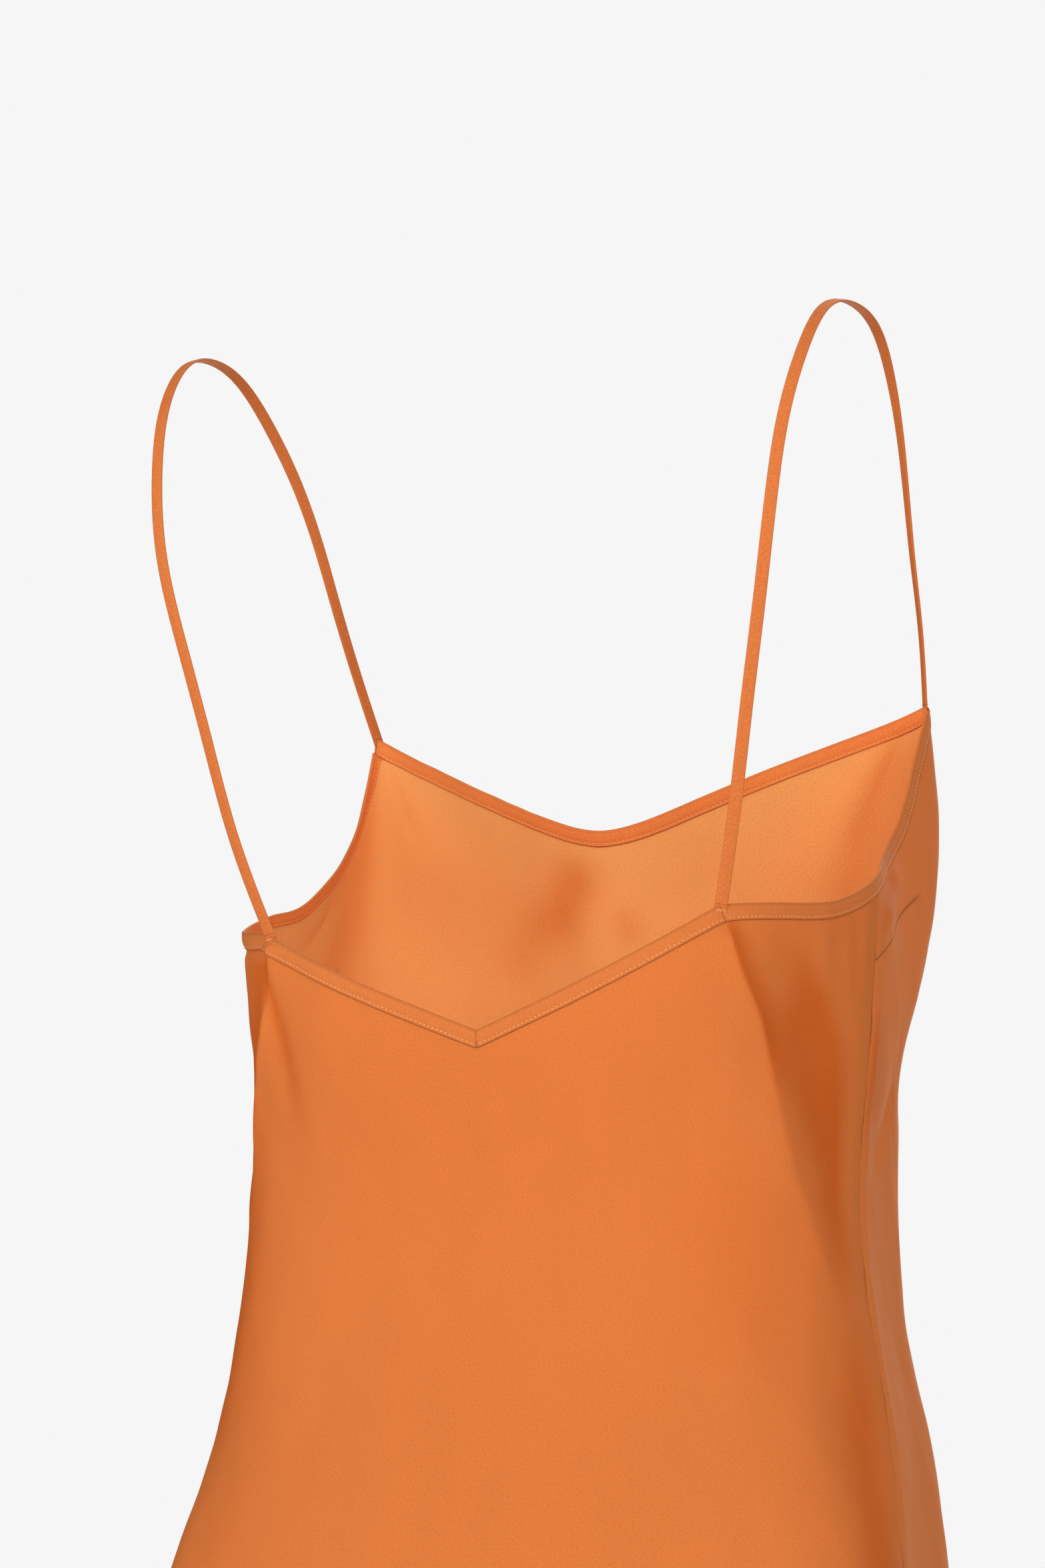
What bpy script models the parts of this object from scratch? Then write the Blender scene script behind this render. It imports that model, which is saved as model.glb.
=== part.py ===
# A sleeveless satin slip dress on two thin shoulder straps, filled out as it is when worn.
# Metres, +Z up. The wearer faces -Y, so +X is the wearer's left.
# The origin lies midway between the tops of the two straps, where the shoulders carry the dress.
import bmesh
import bpy
import numpy as np

# ---- driving dimensions -------------------------------------------------------------------
HEM_HEIGHT = -1.22
PANEL_WALL = 0.0012
BINDING_WIDTH = 0.006
BINDING_WALL = 0.001
STRAP_WIDTH = 0.0054
STRAP_WALL = 0.0014
STRAP_STAND_BACK = 0.0026
STRAP_STAND_FRONT = 0.0034
SEAM_GAP = 0.0003
BINDING_GAP = 0.00042
PANEL_SETBACK = 0.00027
MITRE_REACH = 0.034

# Mesh density: segments along each edge, and rows from the hem to the bindings. Rows crowd
# towards the top, columns drift from their hem girths to their edge girths as a power of the
# height, and stations crowd towards the front strap points.
NECK_SEGMENTS = 24
FRONT_ARMHOLE_SEGMENTS = 10
BACK_ARMHOLE_SEGMENTS = 8
BACK_NECK_SEGMENTS = 9
PANEL_ROWS = 18
STRAP_SEGMENTS = 40
ROW_CROWDING = 1.35
COLUMN_DRIFT = 3
STATION_CROWDING = 0.3

# The form. Girth is measured round the dress at the bust from a side seam, and the named
# lines run down the cloth at these girths: the front ones forwards, the back ones backwards.
SIDE_GIRTH = 0.052
CORNER_GIRTH = 0.102
BUST_GIRTH = 0.150
CENTRE_GIRTH = 0.245
REAR_GIRTH = 0.055
BLADE_GIRTH = 0.125
SPINE_GIRTH = 0.205
FULL_GIRTH = 2 * (CENTRE_GIRTH + SPINE_GIRTH)

# One row for each level section, in millimetres: where each named line crosses it.
SECTION_COLUMNS = (
    "height", "seam_x", "seam_y", "side_x", "side_y", "corner_x", "corner_y", "bust_x", "bust_y",
    "centre_x", "centre_y", "rear_x", "rear_y", "blade_x", "blade_y", "spine_y",
)
SECTIONS = (
    (-1220, 236, 6, 234, -58, 208, -122, 128, -164, 0, -176, 206, 112, 126, 152, 166),
    (-1000, 212, 8, 210, -48, 189, -106, 118, -146, 0, -155, 188, 96, 117, 138, 150),
    (-800, 190, 12, 187, -39, 171, -92, 108, -131, 0, -139, 173, 82, 108, 125, 136),
    (-600, 167.5, 17, 165.5, -32, 154, -80, 99, -119, 0, -126, 160, 67, 99, 111, 122),
    (-520, 156.5, 16, 153.5, -31, 143.5, -77, 92, -114, 0, -121, 150, 60, 92, 101, 111),
    (-470, 149, 9, 146, -36, 137, -76, 87, -111, 0, -118, 134.5, 50, 85, 87, 95),
    (-430, 140.5, 3.5, 137.5, -38, 128.5, -75, 82, -107, 0, -114, 127, 46.5, 80, 77, 84),
    (-390, 134.5, 0, 132.5, -42, 123.5, -76, 78, -104, 0, -110, 122.5, 44, 76, 72, 79),
    (-350, 133, -6, 131, -48, 121.5, -79, 78, -104, 0, -107, 121.5, 42, 75, 75, 83),
    (-310, 136, -9.5, 133, -52, 122.5, -82.5, 82, -109, 1, -104, 121, 43.5, 78, 83, 91),
    (-270, 138.5, -11, 136.5, -57, 129, -98, 88, -118, 2, -97, 124, 44.5, 80, 86, 93),
    (-236, 139, -12, 132.5, -60, 132.5, -110, 90, -119, 4, -88, 127, 42, 80, 85, 90),
    (-200, 134, -12, 128.5, -62, 132.5, -118, 90, -109, 6, -74, 127, 40, 80, 84, 88),
    (-170, 130, -12, 127, -64, 131, -116.5, 90, -99, 7, -62, 126, 38, 80, 84, 88),
    (-140, 128, -12, 126, -66, 130, -110, 92, -92, 7, -50, 126, 38, 80, 84, 88),
)

# Soft flutes that open in the skirt towards the hem. One row for each wave: folds round the
# dress, depth in metres, phase.
FLUTE_TOP = -0.62
FLUTES = ((9, 0.0065, 0.4), (5, 0.0045, 1.9))

# The armhole's edge from the back strap point round under the arm to the front strap point, as
# pairs of girth and height. Girths behind the side seam are below zero.
ARMHOLE = (
    (-0.0985, -0.2573), (-0.035, -0.2503), (0.0, -0.2393), (0.030, -0.2273),
    (0.058, -0.2073), (0.083, -0.1773), (CORNER_GIRTH, -0.1455),
)
STRAP_GIRTH_BACK = 0.0985

# The front neckline is a V with a rounded point, and the back one is a V with a sharp point.
NECK_POINT_HEIGHT = -0.1985
NECK_ROUNDING = 0.155
BACK_NECK_POINT_HEIGHT = -0.3058

# A strap from its back end over the shoulder to its front end: x, y, z in millimetres, then the
# way that its outer face looks. The left strap is as given and the right one is its mirror image.
STRAP = (
    (111.5, 87, -216, 0.30, 0.95, -0.2),
    (119.5, 95.5, -178, 0.28, 0.95, -0.2),
    (127.7, 103.5, -139, 0.25, 0.96, -0.1),
    (135, 110, -100, 0.22, 0.97, 0.0),
    (139.5, 105.5, -62, 0.20, 0.90, 0.35),
    (142.8, 92, -33, 0.18, 0.70, 0.65),
    (144.6, 66, -8, 0.16, 0.35, 0.90),
    (145.6, 36, 0, 0.15, 0.0, 1.0),
    (145.8, 5, -3, 0.18, -0.3, 0.93),
    (143.6, -23, -19, 0.25, -0.65, 0.70),
    (140.8, -43.5, -38, 0.32, -0.8, 0.50),
    (138, -60.5, -61, 0.38, -0.85, 0.35),
    (135.6, -76, -87, 0.45, -0.85, 0.30),
    (133, -94.5, -116, 0.52, -0.82, 0.25),
)

MILLIMETRE = 0.001
SATIN = {"colour": (0.74, 0.195, 0.044, 1), "roughness": 0.42}
SATIN_INSIDE = {"colour": (0.80, 0.25, 0.062, 1), "roughness": 0.45}
SATIN_EDGE = {"colour": (0.62, 0.150, 0.036, 1), "roughness": 0.48}
LEFT, RIGHT = 1, -1


# ---- curves -------------------------------------------------------------------------------
def spline_weights(knots, at):
    """How much the value at each knot counts in the natural cubic spline, for each number of at."""
    knots, at = np.asarray(knots, float), np.asarray(at, float)
    gaps, unit = np.diff(knots), np.eye(len(knots))
    slopes = np.diff(unit, axis=0) / gaps[:, None]
    system, change = np.eye(len(knots)), np.zeros_like(unit)
    for i in range(1, len(knots) - 1):
        system[i, i - 1:i + 2] = gaps[i - 1], 2 * (gaps[i - 1] + gaps[i]), gaps[i]
        change[i] = 6 * (slopes[i] - slopes[i - 1])
    bends = np.linalg.solve(system, change)
    low = np.clip(np.searchsorted(knots, at, side="right") - 1, 0, len(gaps) - 1)
    span = gaps[low][:, None]
    past = at[:, None] - knots[low][:, None]
    left = span - past
    line = (unit[low] - bends[low] * span**2 / 6) * left
    line += (unit[low + 1] - bends[low + 1] * span**2 / 6) * past
    return (line + (bends[low] * left**3 + bends[low + 1] * past**3) / 6) / span


def unit_vectors(vectors):
    return vectors / np.linalg.norm(vectors, axis=-1, keepdims=True)


def dot(a, b):
    return np.sum(a * b, axis=-1, keepdims=True)


def smooth_step(share):
    share = np.clip(share, 0, 1)
    return share * share * (3 - 2 * share)


# ---- the form of the cloth ----------------------------------------------------------------
# Girth runs backwards from the left side seam below zero and forwards above it, so the right
# side seam is met at both ends, and the named lines repeat every FULL_GIRTH.
LEFT_LINES = (
    (-SPINE_GIRTH, "spine"), (-BLADE_GIRTH, "blade"), (-REAR_GIRTH, "rear"), (0.0, "seam"),
    (SIDE_GIRTH, "side"), (CORNER_GIRTH, "corner"), (BUST_GIRTH, "bust"), (CENTRE_GIRTH, "centre"),
)
RIGHT_LINES = tuple((2 * CENTRE_GIRTH - girth, line) for girth, line in LEFT_LINES[-2:0:-1])
WRAPPED_LINES = 4


def line_places(rows):
    """Where each named line crosses each row's section: the girths, and rows by lines by x, y."""
    size = dict(zip(SECTION_COLUMNS[1:], (rows * MILLIMETRE).T))
    zero = np.zeros(len(rows))
    girths, places = [], []
    for lines, side in ((LEFT_LINES, LEFT), (RIGHT_LINES, RIGHT)):
        for girth, line in lines:
            across = size.get(line + "_x", zero)
            if line != "centre":
                across = side * across
            girths.append(girth)
            places.append(np.stack((across, size[line + "_y"]), axis=-1))
    girths = [g - FULL_GIRTH for g in girths[-WRAPPED_LINES:]] + girths
    girths += [g + FULL_GIRTH for g in girths[WRAPPED_LINES:2 * WRAPPED_LINES]]
    places = places[-WRAPPED_LINES:] + places + places[:WRAPPED_LINES]
    return girths, np.stack(places, axis=1)


def form(girth, height):
    """The outer face of the cloth: a point for each pair of girth and height."""
    sections = np.array(SECTIONS, float)
    rows = spline_weights(sections[:, 0] * MILLIMETRE, height) @ sections[:, 1:]
    line_girths, places = line_places(rows)
    start = line_girths[WRAPPED_LINES]
    wrapped = (girth - start) % FULL_GIRTH + start
    flat = np.einsum("nk,nkc->nc", spline_weights(line_girths, wrapped), places)
    open_share = smooth_step((FLUTE_TOP - height) / (FLUTE_TOP - HEM_HEIGHT))
    flute = np.zeros(len(height))
    for folds, depth, phase in FLUTES:
        flute += depth * np.cos(2 * np.pi * folds * girth / FULL_GIRTH + phase)
    flat = flat + unit_vectors(flat) * (open_share * flute)[:, None]
    return np.column_stack((flat, height))


def form_slopes(girth, height, step=0.0005):
    """How the point moves along the cloth with girth and with height."""
    along = (form(girth + step, height) - form(girth - step, height)) / (2 * step)
    up = (form(girth, height + step) - form(girth, height - step)) / (2 * step)
    return along, up


def outward(girth, height):
    along, up = form_slopes(girth, height)
    return unit_vectors(np.cross(up, along))


def slide(girth, height, move):
    """The girth and height that a move along the cloth leads to."""
    target = form(girth, height) + move
    for _ in range(3):
        along, up = form_slopes(girth, height)
        rest = target - form(girth, height)
        aa, au, uu = dot(along, along), dot(along, up), dot(up, up)
        ra, ru = dot(rest, along), dot(rest, up)
        area = aa * uu - au**2
        girth = girth + ((ra * uu - ru * au) / area)[:, 0]
        height = height + ((ru * aa - ra * au) / area)[:, 0]
    return girth, height


def spread(girth, height, shares):
    """Stations at given shares of the distance along a line on the cloth."""
    steps = np.linalg.norm(np.diff(form(girth, height), axis=0), axis=1)
    run = np.concatenate(([0], np.cumsum(steps)))
    at = shares * run[-1]
    return np.interp(at, run, girth), np.interp(at, run, height)


# ---- the top edge -------------------------------------------------------------------------
FINE = 400


def armhole_height(girth):
    table = np.array(ARMHOLE)
    return spline_weights(table[:, 0], girth) @ table[:, 1]


def front_neck_height(girth):
    """A V whose arms are straight and whose point is rounded."""
    share = (girth - CENTRE_GIRTH) / (CENTRE_GIRTH - CORNER_GIRTH)
    arms = np.hypot(share, NECK_ROUNDING) - NECK_ROUNDING
    full = np.hypot(1, NECK_ROUNDING) - NECK_ROUNDING
    peak = armhole_height(np.array([CORNER_GIRTH]))[0]
    return NECK_POINT_HEIGHT + (peak - NECK_POINT_HEIGHT) * arms / full


def back_neck_height(girth):
    share = np.abs(girth + SPINE_GIRTH) / (SPINE_GIRTH - STRAP_GIRTH_BACK)
    peak = armhole_height(np.array([-STRAP_GIRTH_BACK]))[0]
    return BACK_NECK_POINT_HEIGHT + (peak - BACK_NECK_POINT_HEIGHT) * share


def mirrored(girth, line_girth):
    """The girth of the same place on the other side of the centre front or the spine."""
    return 2 * line_girth - girth


def stations(start, end, segments, height_of, waves=0):
    """Stations along the edge from one girth to another. They are even with no waves, closer
    together at the start with one wave, and closer together at both ends with two."""
    girth = np.linspace(start, end, FINE)
    shares = np.linspace(0, 1, segments + 1)
    if waves:
        shares -= STATION_CROWDING * np.sin(waves * np.pi * shares) / (waves * np.pi)
    return spread(girth, height_of(girth), shares)


class Edge:
    """A run of the top edge, seen from outside from left to right, with the line that lies one
    binding's width below it."""

    def __init__(self, girth, height):
        self.girth, self.height = girth, height
        self.point = form(girth, height)
        self.normal = outward(girth, height)
        self.tangent = unit_vectors(np.gradient(self.point, axis=0, edge_order=2))
        self.inward = unit_vectors(np.cross(self.tangent, self.normal))

    def lay_low_line(self):
        """Places the line below the edge, once the mitres at its ends are known."""
        self.low_girth, self.low_height = slide(self.girth, self.height, self.inward * BINDING_WIDTH)
        self.low_point = form(self.low_girth, self.low_height)
        self.low_normal = outward(self.low_girth, self.low_height)


def lean(edge, end, share):
    """Gives the end of a run a cross-section, and leans the others near it less and less."""
    steps = np.linalg.norm(np.diff(edge.point, axis=0), axis=1)
    run = np.concatenate(([0], np.cumsum(steps)))
    near = np.clip(1 - np.abs(run - run[end]) / MITRE_REACH, 0, 1)[:, None]
    edge.inward += edge.tangent * near * (share @ edge.tangent[end])
    edge.inward[end] = share


def mitre(before, after):
    """Makes the end of one run and the start of the next share a cross-section."""
    share = before.inward[-1] + after.inward[0]
    share = share / (1 + before.inward[-1] @ after.inward[0])
    lean(before, -1, share)
    lean(after, 0, share)


def meet_at_seam(before, after):
    """Turns the shared cross-section at a side seam down the seam."""
    _, up = form_slopes(before.girth[-1:], before.height[-1:])
    down = -unit_vectors(up)[0]
    share = down / (down @ before.inward[-1])
    lean(before, -1, share)
    lean(after, 0, share)


def top_edge():
    """The runs of the top edge, all the way round from the right side seam across the front."""
    far_corner = mirrored(CORNER_GIRTH, CENTRE_GIRTH)
    neck = stations(far_corner, CORNER_GIRTH, NECK_SEGMENTS, front_neck_height, waves=2)
    front = stations(CORNER_GIRTH, 0, FRONT_ARMHOLE_SEGMENTS, armhole_height, waves=1)
    back = stations(0, -STRAP_GIRTH_BACK, BACK_ARMHOLE_SEGMENTS, armhole_height)
    back_neck = stations(-STRAP_GIRTH_BACK, -SPINE_GIRTH, BACK_NECK_SEGMENTS, back_neck_height)
    runs = {
        "front_right": Edge(mirrored(front[0][::-1], CENTRE_GIRTH), front[1][::-1]),
        "neck": Edge(*neck),
        "front_left": Edge(*front),
        "back_left": Edge(*back),
        "back_neck_left": Edge(*back_neck),
        "back_neck_right": Edge(mirrored(back_neck[0][::-1], -SPINE_GIRTH), back_neck[1][::-1]),
        "back_right": Edge(mirrored(back[0][::-1], -SPINE_GIRTH), back[1][::-1]),
    }
    order = list(runs.values())
    for before, after in zip(order[:-1], order[1:]):
        mitre(before, after)
    meet_at_seam(runs["front_left"], runs["back_left"])
    meet_at_seam(runs["back_right"], runs["front_right"])
    for run in order:
        run.lay_low_line()
    return runs


# ---- meshes -------------------------------------------------------------------------------
def satin(name, finish):
    material = bpy.data.materials.new(name + "_satin")
    material.use_nodes = True
    shader = material.node_tree.nodes["Principled BSDF"]
    shader.inputs["Base Color"].default_value = finish["colour"]
    shader.inputs["Roughness"].default_value = finish["roughness"]
    shader.inputs["Metallic"].default_value = 0
    return material


def solid(name, rings, finish):
    """A closed solid from rings of points, one ring for each station along it. The second half
    of each ring comes back along the first, so each end is closed by a strip of quads."""
    count, across = len(rings), len(rings[0])
    grid = bmesh.new()
    bmesh.ops.create_grid(grid, x_segments=count - 1, y_segments=across, size=0.5)
    ends = {0: {}, count - 1: {}}
    for vert in grid.verts:
        i = round((vert.co.x + 0.5) * (count - 1))
        k = round((vert.co.y + 0.5) * across)
        vert.co = rings[i][k % across]
        if i in ends and k < across:
            ends[i][k] = vert
    for end in ends.values():
        for k in range(across // 2 - 1):
            grid.faces.new((end[k], end[k + 1], end[across - 2 - k], end[across - 1 - k]))
    bmesh.ops.remove_doubles(grid, verts=grid.verts, dist=1e-6)
    bmesh.ops.recalc_face_normals(grid, faces=grid.faces)
    mesh = bpy.data.meshes.new(name)
    grid.to_mesh(mesh)
    grid.free()
    mesh.shade_smooth()
    thing = bpy.data.objects.new(name, mesh)
    bpy.context.scene.collection.objects.link(thing)
    mesh.materials.append(satin(name, finish))
    # Bent quads are cut along the shorter diagonal, so that cloth laid on cloth bends with it.
    thing.modifiers.new("triangles", "TRIANGULATE").quad_method = "SHORTEST_DIAGONAL"


def joined(runs, part):
    return np.concatenate([getattr(run, part)[0 if run is runs[0] else 1:] for run in runs])


def panel(name, runs, seam_girths, finish):
    """A panel from the hem to the top edge, with its columns spread evenly along both."""
    top_girth, top_height, girth, height = (
        joined(runs, part) for part in ("girth", "height", "low_girth", "low_height")
    )
    left, right = seam_girths
    hem, shares = np.linspace(left, right, FINE), np.linspace(0, 1, len(girth))
    hem_girth, _ = spread(hem, np.full(FINE, HEM_HEIGHT), shares)
    rise = 1 - (1 - np.linspace(0, 1, PANEL_ROWS + 1)) ** ROW_CROWDING
    rows = []
    for share in rise:
        drift = share**COLUMN_DRIFT
        row_girth = hem_girth + (girth - hem_girth) * drift
        rows.append((row_girth, HEM_HEIGHT + (height - HEM_HEIGHT) * share))
    rows.append((top_girth, top_height))
    outer, inner = [], []
    for row_girth, row_height in rows:
        row_girth = row_girth.copy()
        row_girth[0], row_girth[-1] = left - PANEL_SETBACK, right + PANEL_SETBACK
        outer.append(form(row_girth, row_height))
        inner.append(outer[-1] - outward(row_girth, row_height) * PANEL_WALL)
    solid(name, np.stack(outer + inner[::-1], axis=1), finish)


def binding(name, runs, finish):
    """A strip folded over the panels' edge, clear of both their faces, with mitred ends."""
    point, normal, tangent, inward, low_point, low_normal = (
        joined(runs, part)
        for part in ("point", "normal", "tangent", "inward", "low_point", "low_normal")
    )
    pull = np.zeros((len(point), 1))
    pull[0] = np.linalg.norm(inward[0]) * SEAM_GAP / 2
    pull[-1] = -np.linalg.norm(inward[-1]) * SEAM_GAP / 2
    point, low_point = point + tangent * pull, low_point + tangent * pull
    near, far = BINDING_GAP, BINDING_GAP + BINDING_WALL
    back_near, back_far = -PANEL_WALL - near, -PANEL_WALL - far
    rings = (
        low_point + low_normal * far,
        point + normal * far - inward * far,
        point + normal * back_far - inward * far,
        low_point + low_normal * back_far,
        low_point + low_normal * back_near,
        point + normal * back_near - inward * near,
        point + normal * near - inward * near,
        low_point + low_normal * near,
    )
    solid(name, np.stack(rings, axis=1), finish)


def strap(name, side, back_end, front_end, finish):
    """A flat strip from the back edge over the shoulder to the front edge."""
    table = np.array(STRAP, float)
    path = np.vstack((back_end, table[:, :3] * MILLIMETRE * (side, 1, 1), front_end))
    face = table[[0, *range(len(table)), -1], 3:] * (side, 1, 1)
    run = np.concatenate(([0], np.cumsum(np.linalg.norm(np.diff(path, axis=0), axis=1))))
    at = np.linspace(STRAP_STAND_BACK, run[-1] - STRAP_STAND_FRONT, STRAP_SEGMENTS + 1)
    weights = spline_weights(run, at)
    centre, face = weights @ path, weights @ face
    along = unit_vectors(np.gradient(centre, axis=0))
    across = unit_vectors(np.cross(along, face))
    face = np.cross(across, along)
    rings = [
        centre + across * x * STRAP_WIDTH / 2 + face * z * STRAP_WALL / 2
        for x, z in ((1, 1), (-1, 1), (-1, -1), (1, -1))
    ]
    solid(name, np.stack(rings, axis=1), finish)


def strap_end(edge, station):
    """The middle of the cloth's wall at a strap point."""
    return edge.point[station] - edge.normal[station] * PANEL_WALL / 2


def build_dress():
    runs = top_edge()
    right_seam_front, right_seam_back = 2 * CENTRE_GIRTH, -2 * SPINE_GIRTH
    front_runs = [runs["front_right"], runs["neck"], runs["front_left"]]
    back_runs = [runs[part] for part in ("back_left", "back_neck_left", "back_neck_right", "back_right")]
    panel("front_panel", front_runs, (right_seam_front, 0), SATIN_INSIDE)
    panel("back_panel", back_runs, (0, right_seam_back), SATIN)
    binding("front_neck_binding", [runs["neck"]], SATIN_EDGE)
    binding("back_neck_binding_left", [runs["back_neck_left"]], SATIN_EDGE)
    binding("back_neck_binding_right", [runs["back_neck_right"]], SATIN_EDGE)
    binding("armhole_binding_left", [runs["front_left"], runs["back_left"]], SATIN_EDGE)
    binding("armhole_binding_right", [runs["back_right"], runs["front_right"]], SATIN_EDGE)
    strap("strap_left", LEFT, strap_end(runs["back_left"], -1), strap_end(runs["front_left"], 0), SATIN)
    strap("strap_right", RIGHT, strap_end(runs["back_right"], 0), strap_end(runs["front_right"], -1), SATIN)


for old in list(bpy.data.objects):
    bpy.data.objects.remove(old, do_unlink=True)
build_dress()
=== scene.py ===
# The looks of a sleeveless satin slip dress on two thin straps, hung as it is when worn.
# Metres, +Z up. The wearer faces -Y, and +X is the wearer's left.
import math

import bmesh
import bpy
import numpy as np
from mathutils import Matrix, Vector


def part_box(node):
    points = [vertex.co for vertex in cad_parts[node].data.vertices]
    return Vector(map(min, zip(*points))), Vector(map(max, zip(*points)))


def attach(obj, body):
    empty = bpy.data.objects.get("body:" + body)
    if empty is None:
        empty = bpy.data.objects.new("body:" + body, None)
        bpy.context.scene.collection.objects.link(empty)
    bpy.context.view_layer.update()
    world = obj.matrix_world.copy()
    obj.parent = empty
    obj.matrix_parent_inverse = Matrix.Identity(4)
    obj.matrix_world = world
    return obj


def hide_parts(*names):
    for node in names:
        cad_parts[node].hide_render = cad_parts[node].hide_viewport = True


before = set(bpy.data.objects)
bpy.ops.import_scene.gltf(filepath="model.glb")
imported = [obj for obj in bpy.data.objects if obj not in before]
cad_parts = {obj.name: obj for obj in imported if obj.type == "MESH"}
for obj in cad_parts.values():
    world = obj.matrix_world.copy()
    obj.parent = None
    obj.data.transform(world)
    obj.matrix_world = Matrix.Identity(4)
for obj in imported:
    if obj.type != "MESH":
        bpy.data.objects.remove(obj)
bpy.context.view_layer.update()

scene = bpy.context.scene
mm = 0.001
left, right = 1, -1

# ---- sizes that the pieces share ----
dress = {
    "hem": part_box("front_panel")[0][2],
    "cloth": 0.0005,            # thickness of the satin
    "bindingWidth": 0.006,
    "centreGirth": 0.245,       # girths run round the dress at the bust, from the left side seam
    "spineGirth": 0.205,
    "cornerGirth": 0.102,       # front strap point
    "strapGirth": 0.0985,       # back strap point
    "neckPoint": -0.1985,
    "neckLevel": -0.17,
    "neckRounding": 0.155,
    "backNeckPoint": -0.3058,
    "backNeckSag": 0.0017,      # of its right half
    "askew": 0.0115,            # how much lower the left side hangs, for each metre to the left
}
rightSeam = {"front": 2 * dress["centreGirth"], "back": -2 * dress["spineGirth"]}
fullGirth = rightSeam["front"] - rightSeam["back"]

# Each armhole's edge from the back strap point under the arm to the front one: girth and height.
# The right one sits a little closer to the arm in front.
armholes = {
    left: (
        (-0.0985, -0.2573), (-0.062, -0.2525), (-0.038, -0.2473), (-0.011, -0.2397),
        (0.006, -0.2346), (0.024, -0.2300), (0.0436, -0.2177), (0.061, -0.2030),
        (0.0765, -0.1860), (0.0915, -0.1605), (0.102, -0.1430),
    ),
    right: (
        (-0.0985, -0.2582), (-0.064, -0.2556), (-0.036, -0.2518), (-0.014, -0.2430),
        (0.008, -0.2330), (0.033, -0.2238), (0.050, -0.2150), (0.0625, -0.1990),
        (0.0745, -0.1702), (0.102, -0.1460),
    ),
}

# ---- the form under the folds ----
# One row for each level section, in millimetres: where each line down the cloth crosses it.
formColumns = (
    "height", "seamX", "seamY", "sideX", "sideY", "cornerX", "cornerY", "bustX", "bustY",
    "centreX", "centreY", "rearX", "rearY", "bladeX", "bladeY", "spineY",
)
formSections = (
    (-1220, 236, 6, 234, -58, 208, -122, 128, -164, 0, -176, 206, 112, 126, 152, 166),
    (-1000, 212, 8, 210, -48, 189, -106, 118, -146, 0, -155, 188, 96, 117, 138, 150),
    (-800, 190, 12, 187, -39, 171, -92, 108, -131, 0, -139, 173, 82, 108, 125, 136),
    (-600, 167.5, 17, 165.5, -32, 154, -80, 99, -119, 0, -126, 160, 67, 99, 111, 122),
    (-520, 156.5, 16, 153.5, -31, 143.5, -77, 92, -114, 0, -121, 150, 60, 92, 101, 111),
    (-470, 149, 9, 146, -36, 137, -76, 87, -111, 0, -118, 134.5, 50, 85, 87, 95),
    (-430, 140.5, 3.5, 137.5, -38, 128.5, -75, 82, -107, 0, -114, 127, 46.5, 80, 77, 84),
    (-390, 134.5, 0, 132.5, -42, 123.5, -76, 78, -104, 0, -110, 122.5, 44, 76, 72, 79),
    (-350, 133, -6, 131, -48, 121.5, -79, 78, -104, 0, -107, 121.5, 42, 75, 75, 83),
    (-310, 136, -9.5, 133, -52, 122.5, -82.5, 82, -109, 1, -104, 121, 43.5, 78, 83, 91),
    (-270, 138.5, -11, 136.5, -57, 129, -98, 88, -118, 2, -97, 124, 44.5, 80, 86, 93),
    (-236, 139, -12, 132.5, -60, 132.5, -110, 90, -119, 4, -88, 127, 42, 80, 85, 90),
    (-200, 134, -12, 128.5, -62, 132.5, -118, 90, -109, 6, -74, 127, 40, 80, 84, 88),
    (-170, 130, -12, 127, -64, 131, -116.5, 90, -99, 7, -62, 126, 38, 80, 84, 88),
    (-140, 128, -12, 126, -66, 130, -110, 92, -92, 7, -50, 126, 38, 80, 84, 88),
)
leftLines = (
    (-0.205, "spine"), (-0.125, "blade"), (-0.055, "rear"), (0.0, "seam"),
    (0.052, "side"), (0.102, "corner"), (0.150, "bust"), (0.245, "centre"),
)
wrappedLines = 4
# Soft flutes that open in the skirt towards the hem: folds round the dress, depth, phase.
fluteTop = -0.62
flutes = ((9, 0.0065, 0.4), (5, 0.0045, 1.9))


def splineWeights(knots, at):
    # how much the value at each knot counts in the natural cubic spline, for each number of at
    knots, at = np.asarray(knots, float), np.asarray(at, float)
    gaps, unit = np.diff(knots), np.eye(len(knots))
    slopes = np.diff(unit, axis=0) / gaps[:, None]
    system, change = np.eye(len(knots)), np.zeros_like(unit)
    for i in range(1, len(knots) - 1):
        system[i, i - 1:i + 2] = gaps[i - 1], 2 * (gaps[i - 1] + gaps[i]), gaps[i]
        change[i] = 6 * (slopes[i] - slopes[i - 1])
    bends = np.linalg.solve(system, change)
    low = np.clip(np.searchsorted(knots, at, side="right") - 1, 0, len(gaps) - 1)
    span = gaps[low][:, None]
    past = at[:, None] - knots[low][:, None]
    rest = span - past
    line = (unit[low] - bends[low] * span**2 / 6) * rest
    line += (unit[low + 1] - bends[low + 1] * span**2 / 6) * past
    return (line + (bends[low] * rest**3 + bends[low + 1] * past**3) / 6) / span


def unitVectors(vectors):
    return vectors / np.linalg.norm(vectors, axis=-1, keepdims=True)


def dot(a, b):
    return np.sum(a * b, axis=-1, keepdims=True)


def distances(points):
    # how far along a line of points each one lies
    return np.concatenate(([0], np.cumsum(np.linalg.norm(np.diff(points, axis=0), axis=1))))


def interpolate(at, run, values):
    return np.stack([np.interp(at, run, column) for column in values.T], axis=-1)


def bell(away, width):
    return np.exp(-(away / width)**2)


def smoothStep(share):
    share = np.clip(share, 0, 1)
    return share * share * (3 - 2 * share)


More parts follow.
